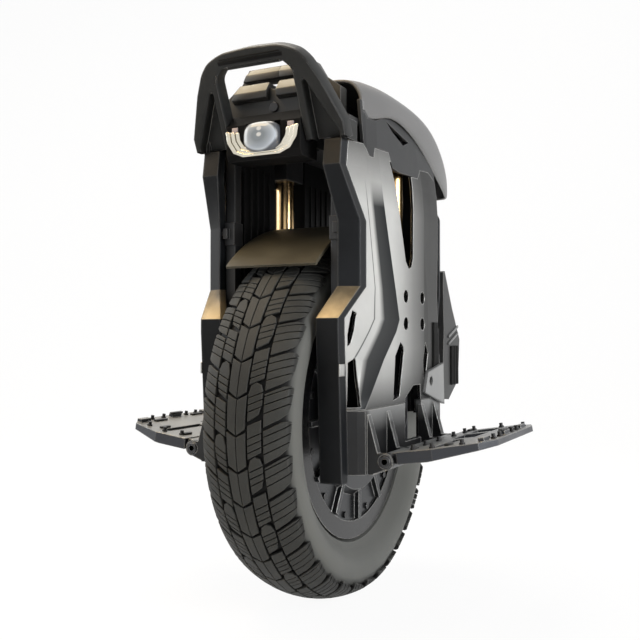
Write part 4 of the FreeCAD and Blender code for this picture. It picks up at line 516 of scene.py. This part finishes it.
# Frame: a plate bridge and four pressed columns of dark blue-grey painted metal carry everything.
# A warm tan highlight is painted on the upward faces of the front columns' knees, strongest low down, and the
# columns' edges carry a pale painted highlight.
knee_low = 0.298
knee_high = 0.340
bridge_alloy = finish("bridge_alloy", (0.012, 0.012, 0.0125), (0.022, 0.022, 0.023), (0.4, 0.55), metal=0.3,
                      grain=1400.0)
dress(bridge_alloy, "upper_bridge")
column_paint = finish("column_blue_grey", (0.006, 0.0066, 0.0075), (0.011, 0.0122, 0.0142), (0.3, 0.42),
                      metal=0.1, grain=1100.0, depth=0.1, radius=0.003, edge_wear_and_highlight=(0.09, 0.094, 0.1), shine=0.12)
tree = column_paint.node_tree
where = tree.nodes.new("ShaderNodeTexCoord")
cloud = tree.nodes.new("ShaderNodeTexNoise")
cloud.inputs["Scale"].default_value = 45.0
cloud.inputs["Detail"].default_value = 3.0
tree.links.new(where.outputs["Object"], cloud.inputs["Vector"])
facing_up = ranged(tree, parts_of(tree, "Normal")["Z"], 0.12, 0.45)
highlight_patches = ranged(tree, cloud.outputs["Fac"], 0.2, 0.6, 0.35, 0.95)
highlight_fade = ranged(tree, parts_of(tree, "Object")["Z"], knee_low, knee_high, 1.0, 0.2)
# Painted warm highlight: tan on the knee faces that look up, in soft patches, strongest low down.
lay(column_paint, (0.78, 0.61, 0.36, 1), times(tree, times(tree, facing_up, highlight_patches), highlight_fade))
dress(column_paint, "front_column_left", "front_column_right")
post_paint = finish("post_black", (0.006, 0.0066, 0.0075), (0.011, 0.0122, 0.0142), (0.34, 0.48), metal=0.1,
                    grain=1100.0, depth=0.1, radius=0.003, edge_wear_and_highlight=(0.09, 0.094, 0.1), shine=0.12)
dress(post_paint, "rear_columns")

# Batteries and controller: four moulded black cases under the bridge hold the wrapped cell packs.
# The controller's board is screwed in the console's tray, and its finned alloy heat sink is let
# into the bridge behind the lamp.
case_black = finish("case_black", (0.003, 0.003, 0.0032), (0.006, 0.006, 0.0065), (0.5, 0.65), grain=700.0,
                    depth=0.25, edge_wear_and_highlight=(0.015, 0.015, 0.016), shine=0.15)
dress(case_black, "battery_case_front_left", "battery_case_front_right", "battery_case_rear_left",
      "battery_case_rear_right")
pack_wrap = finish("pack_wrap", (0.03, 0.08, 0.22), (0.05, 0.12, 0.3), (0.25, 0.45), patch=60.0, depth=0.3)
dress(pack_wrap, "battery_packs")
board_green = finish("board_green", (0.01, 0.06, 0.025), (0.02, 0.1, 0.045), (0.3, 0.5), grain=2500.0)
dress(board_green, "controller_board")
dress(bridge_alloy, "heat_sink")

# Side panels: two bent shells in satin metallic paint. A bevelled band runs round the front of the
# face; it turns away from the light and is painted darker, crisp at its rear and soft in front.
panel_low = 0.222
panel_high = 0.536
panel_back = -0.12
panel_front = 0.16
band_levels = ((0.222, 0.118, 0.124), (0.271, 0.070, 0.112), (0.300, 0.036, 0.079), (0.313, 0.027, 0.067),
               (0.345, 0.038, 0.070), (0.411, 0.062, 0.086), (0.440, 0.072, 0.093), (0.464, 0.076, 0.100),
               (0.536, 0.070, 0.095))


def shades(tree, source, steps):
    """Ramp of grey shades over a value, given as (place, shade) pairs."""
    ramp = tree.nodes.new("ShaderNodeValToRGB")
    stops = ramp.color_ramp.elements
    for stop, step in zip(stops, (steps[0], steps[-1])):
        stop.position = step[0]
        stop.color = (step[1], step[1], step[1], 1)
    for at, shade in steps[1:-1]:
        stops.new(at).color = (shade, shade, shade, 1)
    tree.links.new(source, ramp.inputs["Fac"])
    return ramp.outputs["Color"]


def unsigned(tree, value):
    """A value without its sign, so that both sides of the object get the same."""
    plain = tree.nodes.new("ShaderNodeMath")
    plain.operation = "ABSOLUTE"
    tree.links.new(value, plain.inputs[0])
    return plain.outputs[0]


panel_paint = finish("panel_silver", (0.42, 0.425, 0.42), (0.54, 0.545, 0.535), (0.3, 0.42), metal=0.3,
                     grain=2200.0, depth=0.06, patch=9.0, radius=0.002, edge_wear_and_highlight=(0.5, 0.5, 0.49), shine=0.08)
tree = panel_paint.node_tree
place = parts_of(tree, "Object")
height = ranged(tree, place["Z"], panel_low, panel_high)
length = ranged(tree, place["X"], panel_back, panel_front)
band = tree.nodes.new("ShaderNodeMapRange")
band.clamp = False
band.inputs["To Max"].default_value = 0.5
tree.links.new(place["X"], band.inputs["Value"])
for socket, column in (("From Min", 1), ("From Max", 2)):
    line = tree.nodes.new("ShaderNodeFloatCurve")
    points = line.mapping.curves[0].points
    places = [((level[0] - panel_low) / (panel_high - panel_low), level[column]) for level in band_levels]
    for point, at in zip(points, (places[0], places[-1])):
        point.location = at
    for at in places[1:-1]:
        points.new(*at)
    for point in points:
        point.handle_type = "VECTOR"
    line.mapping.update()
    tree.links.new(height, line.inputs["Value"])
    tree.links.new(line.outputs["Value"], band.inputs[socket])
band_dark = shades(tree, band.outputs["Result"], ((0.0, 0.0), (0.012, 1.0), (0.38, 0.95), (0.5, 0.0),
                                                  (0.62, 0.0), (0.632, 0.75), (0.65, 0.75),
                                                  (0.662, 0.0), (1.0, 0.0)))
band_end = shades(tree, height, ((0.0, 1.0), (0.66, 1.0), (0.74, 0.0), (1.0, 0.0)))
# Painted shade: the panel is painted darker towards its rear, its top and its foot, lightest on the front
# flank at mid height.
along = shades(tree, length, ((0.0, 0.045), (0.18, 0.058), (0.255, 0.08), (0.262, 0.16), (0.38, 0.39),
                              (0.5, 0.8), (0.6, 1.0), (1.0, 1.0)))
upward = shades(tree, height, ((0.0, 0.12), (0.03, 0.3), (0.1, 0.72), (0.19, 1.0), (0.66, 1.0), (0.76, 0.58),
                               (0.85, 0.26), (1.0, 0.16)))
# Painted shade: walls of cuts and holes, which face across the panel, are painted near black.
shaded_cut_wall = ranged(tree, unsigned(tree, parts_of(tree, "Normal")["Y"]), 0.4, 0.2)
lay(panel_paint, along, 1.0, "MULTIPLY", under_worn_and_lit_edges=True)
lay(panel_paint, upward, 1.0, "MULTIPLY", under_worn_and_lit_edges=True)
lay(panel_paint, (0.018, 0.0195, 0.021, 1), times(tree, band_dark, band_end), under_worn_and_lit_edges=True)
lay(panel_paint, (0.006, 0.006, 0.0063, 1), shaded_cut_wall, under_worn_and_lit_edges=True)
dress(panel_paint, "side_panel_left", "side_panel_right")

# Trims, bumpers and heel plates: dark moulded trims close the gap from the side panels to the top
# cover, grey bumpers are screwed on behind the rear columns, and a pale metal plate with a dark
# outline is fixed on the rear foot of each panel.
trim_dark = finish("trim_dark", (0.024, 0.025, 0.026), (0.04, 0.041, 0.043), (0.4, 0.55), grain=1000.0,
                   depth=0.2, edge_wear_and_highlight=(0.16, 0.16, 0.16), shine=0.15)
dress(trim_dark, "upper_trims")
bumper_grey = finish("bumper_grey", (0.03, 0.031, 0.031), (0.055, 0.056, 0.056), (0.36, 0.52), grain=700.0,
                     depth=0.25, edge_wear_and_highlight=(0.3, 0.3, 0.29), shine=0.2)
dress(bumper_grey, "rear_bumpers")
heel_grey = finish("heel_grey", (0.2, 0.204, 0.204), (0.28, 0.284, 0.284), (0.35, 0.5), metal=0.3,
                   radius=0.003, edge_wear_and_highlight=(0.006, 0.006, 0.006))
dress(heel_grey, "heel_plates")

# Pedals: cast brackets with gussets continue the side panels downwards. Hinge pins in them hold
# folding alloy plates with a groove, windows and black steel spikes for grip; the plates' upright side faces
# are painted dark as painted shade.
plate_face = 0.0992
plate_front = 0.106
plate_foot = 0.198
plate_top = 0.222
bracket_grey = finish("bracket_grey", (0.008, 0.0083, 0.009), (0.018, 0.0185, 0.0195), (0.3, 0.46), metal=0.2,
                      grain=900.0, depth=0.2, edge_wear_and_highlight=(0.45, 0.45, 0.44), shine=0.3)
tree = bracket_grey.node_tree
place = parts_of(tree, "Object")
back_plate = times(tree, ranged(tree, unsigned(tree, place["Y"]), plate_face + 0.001, plate_face),
                   ranged(tree, place["X"], plate_front + 0.010, plate_front))
upper_part = ranged(tree, place["Z"], plate_foot, plate_top)
lay(bracket_grey, (0.2, 0.204, 0.203, 1), times(tree, back_plate, upper_part), under_worn_and_lit_edges=True)
dress(bracket_grey, "pedal_bracket_left", "pedal_bracket_right")
pedal_grey = finish("pedal_grey", (0.17, 0.173, 0.172), (0.25, 0.254, 0.252), (0.32, 0.48), metal=0.5,
                    grain=900.0, depth=0.2, edge_wear_and_highlight=(0.32, 0.32, 0.31))
tree = pedal_grey.node_tree
# Painted shade: faces of the plates that turn away from upwards are painted dark bluish grey.
shaded_side_faces = ranged(tree, parts_of(tree, "Normal")["Z"], 0.7, 0.4)
lay(pedal_grey, (0.036, 0.039, 0.046, 1), shaded_side_faces, under_worn_and_lit_edges=True)
dress(pedal_grey, "pedal_left", "pedal_right")
spike_steel = finish("spike_steel", (0.016, 0.016, 0.017), (0.03, 0.03, 0.031), (0.3, 0.45), metal=0.5,
                     radius=0.0005)
dress(spike_steel, "pedal_spikes_left", "pedal_spikes_right")

# Pedal grip bars: low hardened bars are screwed along the edges of each plate beside the spikes,
# and black socket bolts close the hinge at the front of each bracket.
bar_places = ((0.088, 0.172, 0.016), (0.060, 0.200, 0.022), (0.020, 0.207, 0.022), (-0.020, 0.205, 0.022),
              (-0.060, 0.196, 0.022), (-0.086, 0.165, 0.016), (0.092, 0.138, 0.014), (-0.090, 0.138, 0.014))
bar_wide = 0.0045
bar_tall = 0.0024
bar_lift = 0.0011
above_pedal = 0.26
socket_r = 0.0034
collar_r = 0.0062
collar_face_r = 0.0054
bolt_deep = 0.0012
bolt_y = 0.1152
bolt_z = 0.1719


def plain_block(bm, size, place, turn=None):
    """Plain block, turned about its middle and then set in its place."""
    verts = bmesh.ops.create_cube(bm, size=1.0)["verts"]
    bmesh.ops.scale(bm, vec=size, verts=verts)
    if turn:
        bmesh.ops.rotate(bm, cent=(0, 0, 0), matrix=turn, verts=verts)
    bmesh.ops.translate(bm, vec=place, verts=verts)


bar_steel = finish("bar_steel", (0.014, 0.014, 0.015), (0.026, 0.026, 0.027), (0.3, 0.45), metal=0.4,
                   radius=0.0006, edge_wear_and_highlight=(0.1, 0.1, 0.1))
for name, s in (("left", 1), ("right", -1)):
    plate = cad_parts["pedal_" + name]
    bm = bmesh.new()
    for x, y, length in bar_places:
        above = Vector((x, s * y, above_pedal))
        found, spot, normal, _ = plate.ray_cast(above, Vector((0, 0, -1)), distance=0.085)
        if found and normal.z > 0.9:
            turn_up = Vector((0, 0, 1)).rotation_difference(normal).to_matrix()
            plain_block(bm, (length, bar_wide, bar_tall), spot + normal * bar_lift, turn_up)
    soften(bm, bm.edges[:], 0.0006)
    piece(bm, "grip_bars_" + name, bar_steel, "pedal_arm_" + name)
pin_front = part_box("hinge_pins")[1].x
bm = bmesh.new()
for s in (-1, 1):
    head = bmesh.ops.create_cone(bm, cap_ends=True, segments=6, radius1=socket_r, radius2=socket_r,
                                 depth=bolt_deep)["verts"]
    lid = [f for v in head for f in v.link_faces if f.normal.z > 0.5]
    bmesh.ops.delete(bm, geom=lid[:1], context="FACES")
    collar = bmesh.ops.create_cone(bm, cap_ends=False, segments=32, radius1=collar_r, radius2=collar_face_r,
                                   depth=bolt_deep)["verts"]
    bolt = head + collar
    lip = [e for e in bm.edges if e.is_boundary and e.verts[0] in bolt and all(v.co.z > 0 for v in e.verts)]
    bmesh.ops.bridge_loops(bm, edges=lip)
    bmesh.ops.rotate(bm, cent=(0, 0, 0), matrix=Matrix.Rotation(math.pi / 2, 3, "Y"), verts=bolt)
    bmesh.ops.translate(bm, vec=(pin_front + bolt_deep / 2, s * bolt_y, bolt_z), verts=bolt)
piece(bm, "hinge_bolts", screw_black, "chassis")

# Rear bumper pads: a black ribbed rubber pad is pressed on the lower half of each bumper, with two
# pale raised strips above it.
bumper_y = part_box("rear_bumpers")[1].y
rib_size = (0.008, 0.0024, 0.050)
rib_y = bumper_y + 0.0010
rib_z = 0.258
strip_size = (0.040, 0.0018, 0.0035)
strip_x = -0.168
strip_y = bumper_y + 0.0007
strip_tilt = Matrix.Rotation(0.35, 3, "Y")
pad_rubber = finish("pad_rubber", (0.004, 0.004, 0.004), (0.009, 0.009, 0.009), (0.55, 0.7), depth=0.3,
                    edge_wear_and_highlight=(0.03, 0.03, 0.03), shine=0.06)
bm = bmesh.new()
for s in (-1, 1):
    for x in (-0.182, -0.172, -0.162):
        plain_block(bm, rib_size, (x, s * rib_y, rib_z))
soften(bm, bm.edges[:], 0.0009)
piece(bm, "bumper_pads", pad_rubber, "chassis")
bm = bmesh.new()
for s in (-1, 1):
    for z in (0.292, 0.301):
        plain_block(bm, strip_size, (strip_x, s * strip_y, z), strip_tilt)
soften(bm, bm.edges[:], 0.0006)
piece(bm, "bumper_strips", heel_grey, "chassis")

# Column tabs: a bright pressed tab is clipped over the rear edge of each front column, beside the
# lower slot of the panel.
tab_x = 0.141
tab_z = 0.262
tab_size = (0.010, 0.0016, 0.012)
tab_lift = 0.0007
outside_y = 0.2
tab_steel = finish("tab_steel", (0.42, 0.42, 0.41), (0.55, 0.55, 0.54), (0.28, 0.4), metal=0.8, radius=0.0006)
bm = bmesh.new()
for s, name in ((1, "front_column_left"), (-1, "front_column_right")):
    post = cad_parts[name]
    outside = Vector((tab_x, s * outside_y, tab_z))
    found, spot, normal, _ = post.ray_cast(outside, Vector((0, -s, 0)), distance=0.15)
    if found:
        lie_on = Vector((0, s, 0)).rotation_difference(normal).to_matrix()
        plain_block(bm, tab_size, spot + normal * tab_lift, lie_on)
soften(bm, bm.edges[:], 0.0005)
piece(bm, "column_tabs", tab_steel, "chassis")

# Rear guards: a thin black sheet is bonded on the rear slope of each side panel, where the panel
# meets the bumper. It is bent to the panel and leans forward at its foot.
guard_x = -0.078
guard_z = 0.254
guard_wide = 0.0225
guard_tall = 0.0576
guard_bend = 0.272
guard_lean = 0.10
guard_lift = 0.0008
bm = bmesh.new()
past_panel = []
for s, name in ((1, "side_panel_left"), (-1, "side_panel_right")):
    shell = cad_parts[name]
    for v in bmesh.ops.create_grid(bm, x_segments=5, y_segments=8, size=0.5)["verts"]:
        z = guard_z + guard_tall * (0.5 + v.co.y)
        x = guard_x - guard_wide * (0.5 + v.co.x) + guard_lean * max(0.0, guard_bend - z)
        outside = Vector((x, s * outside_y, z))
        found, spot, normal, _ = shell.ray_cast(outside, Vector((0, -s, 0)), distance=0.125)
        v.co = spot + normal * guard_lift
        if not found:
            past_panel.append(v)
bmesh.ops.delete(bm, geom=past_panel, context="VERTS")
guards = piece(bm, "rear_guards", pad_rubber, "chassis")
guard_wall = guards.modifiers.new("wall", "SOLIDIFY")
guard_wall.thickness = 0.0014
guard_wall.offset = 0.0

# Top cover: one long moulding in satin dark plastic, crowned across and falling towards the tail,
# with a rolled lower rim. It stands on the bridge by posts inside it. Its levels are in millimetres.
bridge_z = 0.510
flank_y = 0.096
seat_levels = ((100, 7.5, 30, 51, 11, 26), (86, 9.0, 34.5, 54, 8.5, 25), (72, 11, 38, 56, 7, 25),
               (40, 22, 42, 59, 5, 25), (0, 21, 42, 59, 5, 25), (-50, 9, 40, 58, 5, 25),
               (-105, -16, 30, 54, 6, 26), (-160, -32, 6, 38, 12, 32), (-196, -33, -5, 14, 22, 36),
               (-203, -33, -8, 10, 24, 38))
bm = bmesh.new()
chains = []
for x, low, shoulder, top, inset, inset_top in seat_levels:
    wide = flank_y - inset / 1000
    narrow = flank_y - inset_top / 1000
    low, shoulder, top = (bridge_z + level / 1000 for level in (low, shoulder, top))
    half = [(wide - 0.0025, low), (wide, low + 0.0015), (wide, low + 0.4 * (shoulder - low)),
            (wide - 0.0005, shoulder - 0.003),
            (wide - 0.2 * (wide - narrow), shoulder + 0.3 * (top - shoulder)),
            (narrow + 0.004, top - 0.004), (narrow - 0.008, top - 0.0005), (0.4 * narrow, top)]
    row = [bm.verts.new((x / 1000, y, z)) for y, z in half + [(-y, z) for y, z in reversed(half)]]
    chains.append([bm.edges.new(pair) for pair in zip(row, row[1:])])
for a, b in zip(chains, chains[1:]):
    bmesh.ops.bridge_loops(bm, edges=a + b)
bm.faces.new(row)
# The cover's rounded edges, the rolled rim most of all, carry a pale painted highlight.
seat_dark = finish("seat_dark", (0.1, 0.1, 0.101), (0.13, 0.13, 0.131), (0.38, 0.5), grain=1500.0, depth=0.22,
                   patch=12.0, radius=0.0022, edge_wear_and_highlight=(0.6, 0.6, 0.59))
seat = piece(bm, "top_cover", seat_dark, "chassis", smooth=70.0)
seat_crown = seat.modifiers.new("crown", "SUBSURF")
seat_crown.levels = 2
seat_crown.render_levels = 2
seat_wall = seat.modifiers.new("wall", "SOLIDIFY")
seat_wall.thickness = 0.003
seat_wall.offset = -1.0
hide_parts("seat_cover")
dress(seat_dark, "seat_cover")

# Console and drag handle: a black moulded housing on the bridge, with the power button in its
# front, stands between the two alloy rails of a telescopic grip. Caps with sloped faces are
# snapped on both; the faces that look up and forward are painted khaki-tan as a painted warm highlight.
console_black = finish("console_black", (0.012, 0.0118, 0.011), (0.024, 0.0235, 0.022), (0.36, 0.52),
                       grain=1000.0, depth=0.2, edge_wear_and_highlight=(0.05, 0.047, 0.042))
dress(console_black, "console", "trolley_grip")
dress(dark_alloy, "trolley_rails", "trolley_stage")
button_gloss = finish("button_gloss", (0.015, 0.015, 0.016), (0.022, 0.022, 0.024), (0.12, 0.2), depth=0.03,
                      radius=0.001)
dress(button_gloss, "power_button")
cap_warm_highlight = finish("cap_warm_highlight", (0.15, 0.138, 0.1), (0.21, 0.196, 0.15), (0.5, 0.66), grain=1000.0,
                   depth=0.15, edge_wear_and_highlight=(0.27, 0.25, 0.19), shine=0.25)


def sloped_cap(name, body, corner, forward, drops, low_half, high_half, gap):
    """Cap whose up and forward faces are painted khaki-tan as a painted warm highlight over a black front, in
    two halves beside a middle notch.
    """
    bm = bmesh.new()
    section = [(corner.x, corner.z), (corner.x + forward, corner.z - drops[0]),
               (corner.x + forward, corner.z - drops[1]), (corner.x, corner.z - drops[2])]
    low = corner.z - drops[2]
    for s in (-1, 1):
        face = bm.faces.new([bm.verts.new((x, s * gap, z)) for x, z in section])
        made = bmesh.ops.extrude_face_region(bm, geom=[face])
        for v in only(made, bmesh.types.BMVert):
            v.co.y = s * (low_half + (high_half - low_half) * (v.co.z - low) / drops[2])
    bmesh.ops.recalc_face_normals(bm, faces=bm.faces)
    # Faces that don't look up and forward take the black; the others carry the khaki-tan painted warm
    # highlight.
    for face in bm.faces:
        if face.normal.x < 0.2 or face.normal.z < 0.2:
            face.material_index = 1
    soften(bm, [e for e in bm.edges if e.calc_face_angle(0.0) > 0.3], 0.0008)
    cap = piece(bm, name, cap_warm_highlight, body)
    cap.data.materials.append(console_black)


sloped_cap("grip_cap", "trolley_top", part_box("trolley_grip")[1], 0.0055, (0.0065, 0.0135, 0.0138),
           0.044, 0.037, 0.0)
sloped_cap("console_cap", "chassis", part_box("console")[1], 0.0075, (0.010, 0.017, 0.0195),
           0.049, 0.0415, 0.0055)

# Carrying handle: a thick black hoop that leans forwards over the headlamp, moulded with round
# edges, with splayed legs, two inner posts, thin webs between them and a paddle under its bar.
foot_z = 0.490
handle_x = 0.136
handle_deep = 0.018
web_thick = 0.004
rake = math.radians(24.5)
leg_y = 0.0814
foot_wide = 0.008
foot_tall = 0.020
groove_shade_thick = 0.0014
outer = [(0.088, 0.0), (0.088, 0.018), (0.071, 0.061), (0.0605, 0.081), (0.0515, 0.0905), (0.041, 0.0952),
         (0.030, 0.0984), (0.0, 0.100)]
inner = [(leg_y, 0.0), (leg_y, 0.008), (0.0547, 0.062), (0.0514, 0.062), (0.0434, 0.0735), (0.0329, 0.084),
         (0.0, 0.084)]
post = [(0.0514, 0.0), (0.0434, 0.0)]
web = [(0.050, 0.001), (0.050, 0.063), (0.056, 0.063), (0.083, 0.009), (0.083, 0.001)]
bm = bmesh.new()
rear = handle_x - handle_deep / 2
a = [bm.verts.new((rear, y, foot_z + v)) for y, v in outer]
b = [bm.verts.new((rear, y, foot_z + v)) for y, v in inner]
c = [bm.verts.new((rear, y, foot_z + v)) for y, v in post]
for corners in ((a[0], a[1], b[1], b[0]), (a[1], a[2], b[2], b[1]), (a[2], a[3], a[4], b[3], b[2]),
                (a[4], a[5], b[4], b[3]), (b[3], b[4], c[1], c[0]), (a[5], a[6], b[5], b[4]),
                (a[6], a[7], b[6], b[5])):
    bm.faces.new(corners)
bmesh.ops.mirror(bm, geom=whole(bm), axis="Y", merge_dist=1e-5)
raised = bmesh.ops.extrude_face_region(bm, geom=bm.faces[:])
bmesh.ops.translate(bm, verts=only(raised, bmesh.types.BMVert), vec=(handle_deep, 0, 0))
bmesh.ops.recalc_face_normals(bm, faces=bm.faces)
bends = [e for e in bm.edges if abs(e.verts[0].co.x - e.verts[1].co.x) > handle_deep / 2
         and e.calc_face_angle(0.0) > 0.05 and e.verts[0].co.z > foot_z + 0.065]
soften(bm, bends, 0.0042, segments=4)
rims = [e for e in bm.edges if e.calc_face_angle(0.0) > math.radians(60)
        and max(v.co.z for v in e.verts) > foot_z + 0.001]
soften(bm, rims, 0.0024, segments=3)
for s in (-1, 1):
    face = bm.faces.new([bm.verts.new((rear + 0.001, s * y, foot_z + v)) for y, v in web])
    raised = bmesh.ops.extrude_face_region(bm, geom=[face])
    bmesh.ops.translate(bm, verts=only(raised, bmesh.types.BMVert), vec=(web_thick - 0.001, 0, 0))
lean = (Matrix.Translation((handle_x, 0, foot_z)) @ Matrix.Rotation(rake, 4, "Y")
        @ Matrix.Translation((-handle_x, 0, -foot_z)))
bmesh.ops.transform(bm, matrix=lean, verts=bm.verts)
bmesh.ops.bisect_plane(bm, geom=whole(bm), dist=1e-6, plane_co=(0, 0, foot_z), plane_no=(0, 0, -1),
                       clear_outer=True)
foot_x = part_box("carry_handle")[0].x
for s in (-1, 1):
    plain_block(bm, (handle_x - foot_x, foot_wide, foot_tall),
                ((handle_x + foot_x) / 2, s * leg_y, foot_z + foot_tall / 2))
# The hoop's rounded edges carry a pale painted highlight.
handle_black = finish("handle_black", (0.016, 0.0165, 0.0165), (0.03, 0.031, 0.031), (0.34, 0.5),
                      grain=1200.0, depth=0.2, radius=0.001, edge_wear_and_highlight=(0.26, 0.26, 0.26), shine=0.12)
handle = piece(bm, "carry_hoop", handle_black, "chassis")
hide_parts("carry_handle")
dress(handle_black, "carry_handle", "lift_paddle")
# Painted shade: two thin black strips on the front of the bar stand for the shade in a groove along it.
bm = bmesh.new()
for wide, tall, level, forward in ((0.074, 0.0042, 0.0888, -0.0003), (0.070, 0.0016, 0.0921, -0.0001)):
    plain_block(bm, (groove_shade_thick, wide, tall), (handle_x + handle_deep / 2 + forward, 0, foot_z + level))
soften(bm, bm.edges[:], 0.0004)
bmesh.ops.transform(bm, matrix=lean, verts=bm.verts)
piece(bm, "bar_groove_shade", pad_rubber, "chassis")

# Headlamp: a black housing under the bridge with a domed squarish lens. Three plated strips are
# stacked in a U round its lower half, with a small rose reflector above each end of the U.
housing_black = finish("housing_black", (0.006, 0.006, 0.0062), (0.011, 0.011, 0.0115), (0.5, 0.65),
                       grain=900.0, edge_wear_and_highlight=(0.03, 0.03, 0.03), shine=0.02)
dress(housing_black, "lamp_housing")
dress(board_green, "lamp_board")
lens_low, lens_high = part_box("lamp_lens")
lens_mid = (lens_low + lens_high) / 2
lens_half = (lens_high - lens_low) / 2
lens_square = 0.6
bm = bmesh.new()
for v in bmesh.ops.create_circle(bm, segments=64, radius=1.0)["verts"]:
    y, z = (math.copysign(abs(part) ** lens_square, part) for part in v.co.xy)
    v.co = (lens_low.x, lens_mid.y + y * lens_half.y, lens_mid.z + z * lens_half.z)
ring = bm.edges[:]
for forward, shrink in ((0.0085, 1.0), (0.003, 0.95), (0.0022, 0.82), (0.0014, 0.62), (0.0006, 0.35)):
    made = bmesh.ops.extrude_edge_only(bm, edges=ring)
    verts = only(made, bmesh.types.BMVert)
    ring = only(made, bmesh.types.BMEdge)
    bmesh.ops.translate(bm, verts=verts, vec=(forward, 0, 0))
    grow = shrink * lens_half.z / (max(v.co.z for v in verts) - lens_mid.z)
    bmesh.ops.scale(bm, verts=verts, vec=(1, grow, grow),
                    space=Matrix.Translation((0, -lens_mid.y, -lens_mid.z)))
bmesh.ops.contextual_create(bm, geom=ring)
lens_clear = finish("lens_clear", (0.3, 0.36, 0.44), (0.4, 0.46, 0.53), (0.06, 0.12), grain=300.0, depth=0.02,
                    shine=0.25)
tree = lens_clear.node_tree
where = tree.nodes.new("ShaderNodeTexCoord")
centred = tree.nodes.new("ShaderNodeMapping")
centred.vector_type = "TEXTURE"
centred.inputs["Location"].default_value = lens_mid
centred.inputs["Scale"].default_value = (1.0, lens_half.y, lens_half.z)
flat = tree.nodes.new("ShaderNodeVectorMath")
flat.operation = "MULTIPLY"
flat.inputs[1].default_value = (0, 1, 1)
tree.links.new(where.outputs["Object"], centred.inputs["Vector"])
tree.links.new(centred.outputs["Vector"], flat.inputs[0])
# Painted reflection and shade: the lens colour is painted in rings, dark in the middle, lightest near the
# rim, dark at the edge.
lens_shading = tree.nodes.new("ShaderNodeValToRGB")
stops = lens_shading.color_ramp.elements
stops[0].color = (0.2, 0.24, 0.29, 1)
stops[1].color = (0.1, 0.11, 0.13, 1)
for at, shade in ((0.35, (0.2, 0.24, 0.29)), (0.7, (0.34, 0.39, 0.46)), (0.9, (0.5, 0.56, 0.64)),
                  (0.97, (0.2, 0.22, 0.25))):
    stops.new(at).color = (*shade, 1)
glass = tree.nodes["Principled BSDF"]
glass.inputs["Coat Weight"].default_value = 0.15
glass.inputs["Coat Roughness"].default_value = 0.03
tree.links.new(length_of(tree, flat.outputs["Vector"]), lens_shading.inputs["Fac"])
tree.links.new(lens_shading.outputs["Color"], glass.inputs["Base Color"])
# Two pale spots on the lens are painted glints.
for spot in ((0, 0.05, 0.45), (0, 0.05, 0.05)):
    glint_distance = tree.nodes.new("ShaderNodeVectorMath")
    glint_distance.operation = "DISTANCE"
    glint_distance.inputs[1].default_value = spot
    tree.links.new(flat.outputs["Vector"], glint_distance.inputs[0])
    lay(lens_clear, (0.6, 0.64, 0.69, 1), ranged(tree, glint_distance.outputs["Value"], 0.17, 0.1))
lens = piece(bm, "domed_lens", lens_clear, "chassis", smooth=50.0)
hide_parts("lamp_lens")
dress(lens_clear, "lamp_lens")
bezel_bright = finish("bezel_bright", (0.56, 0.52, 0.42), (0.72, 0.68, 0.58), (0.1, 0.2), metal=1.0,
                      depth=0.04, radius=0.0008)
lamp_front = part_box("lamp_housing")[1].x
strip_path = [(-0.0425, 0.5040), (-0.0405, 0.4920), (-0.0330, 0.4812), (-0.0215, 0.4765), (0.0215, 0.4765),
              (0.0330, 0.4812), (0.0405, 0.4920), (0.0425, 0.5040)]
strip_middle = Vector((0, 0.500))
strip_inner = 0.888
strip_step = 0.12
strip_proud = 0.0035
proud_step = 0.0011
bm = bmesh.new()
for k in range(3):
    chains = []
    for shrink in (1.0 - strip_step * k, strip_inner - strip_step * k):
        path = [strip_middle + (Vector(p) - strip_middle) * shrink for p in strip_path]
        row = [bm.verts.new((lamp_front, p.x, p.y)) for p in path]
        chains.append([bm.edges.new(pair) for pair in zip(row, row[1:])])
    strip = bmesh.ops.bridge_loops(bm, edges=chains[0] + chains[1])
    raised = bmesh.ops.extrude_face_region(bm, geom=strip["faces"])
    bmesh.ops.translate(bm, verts=only(raised, bmesh.types.BMVert), vec=(strip_proud - proud_step * k, 0, 0))
bmesh.ops.recalc_face_normals(bm, faces=bm.faces)
soften(bm, [e for e in bm.edges if e.calc_face_angle(0.0) > 1.0], 0.0005)
strips = piece(bm, "plated_strips", bezel_bright, "chassis")
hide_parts("lamp_bezel")
dress(bezel_bright, "lamp_bezel")
reflector_size = (0.0016, 0.007, 0.005)
reflector_x = lamp_front + 0.0008
reflector_y = 0.0325
reflector_z = 0.5055
reflector_rose = finish("reflector_rose", (0.34, 0.28, 0.28), (0.46, 0.39, 0.39), (0.1, 0.2), grain=400.0,
                        depth=0.1)
bm = bmesh.new()
for s in (-1, 1):
    plain_block(bm, reflector_size, (reflector_x, s * reflector_y, reflector_z))
soften(bm, bm.edges[:], 0.0005)
piece(bm, "lamp_reflectors", reflector_rose, "chassis")

# Tail: a dark moulded block hangs from the bridge under the end of the top cover. A red lens is
# welded into its back, and the charging socket in its left face has a rubber cap on a hinge.
dress(trim_dark, "tail_cover", "charge_socket")
dress(seal_rubber, "charge_cap")
tail_red = finish("tail_red", (0.35, 0.012, 0.012), (0.5, 0.02, 0.02), (0.12, 0.22), depth=0.05)
dress(tail_red, "tail_lamp")
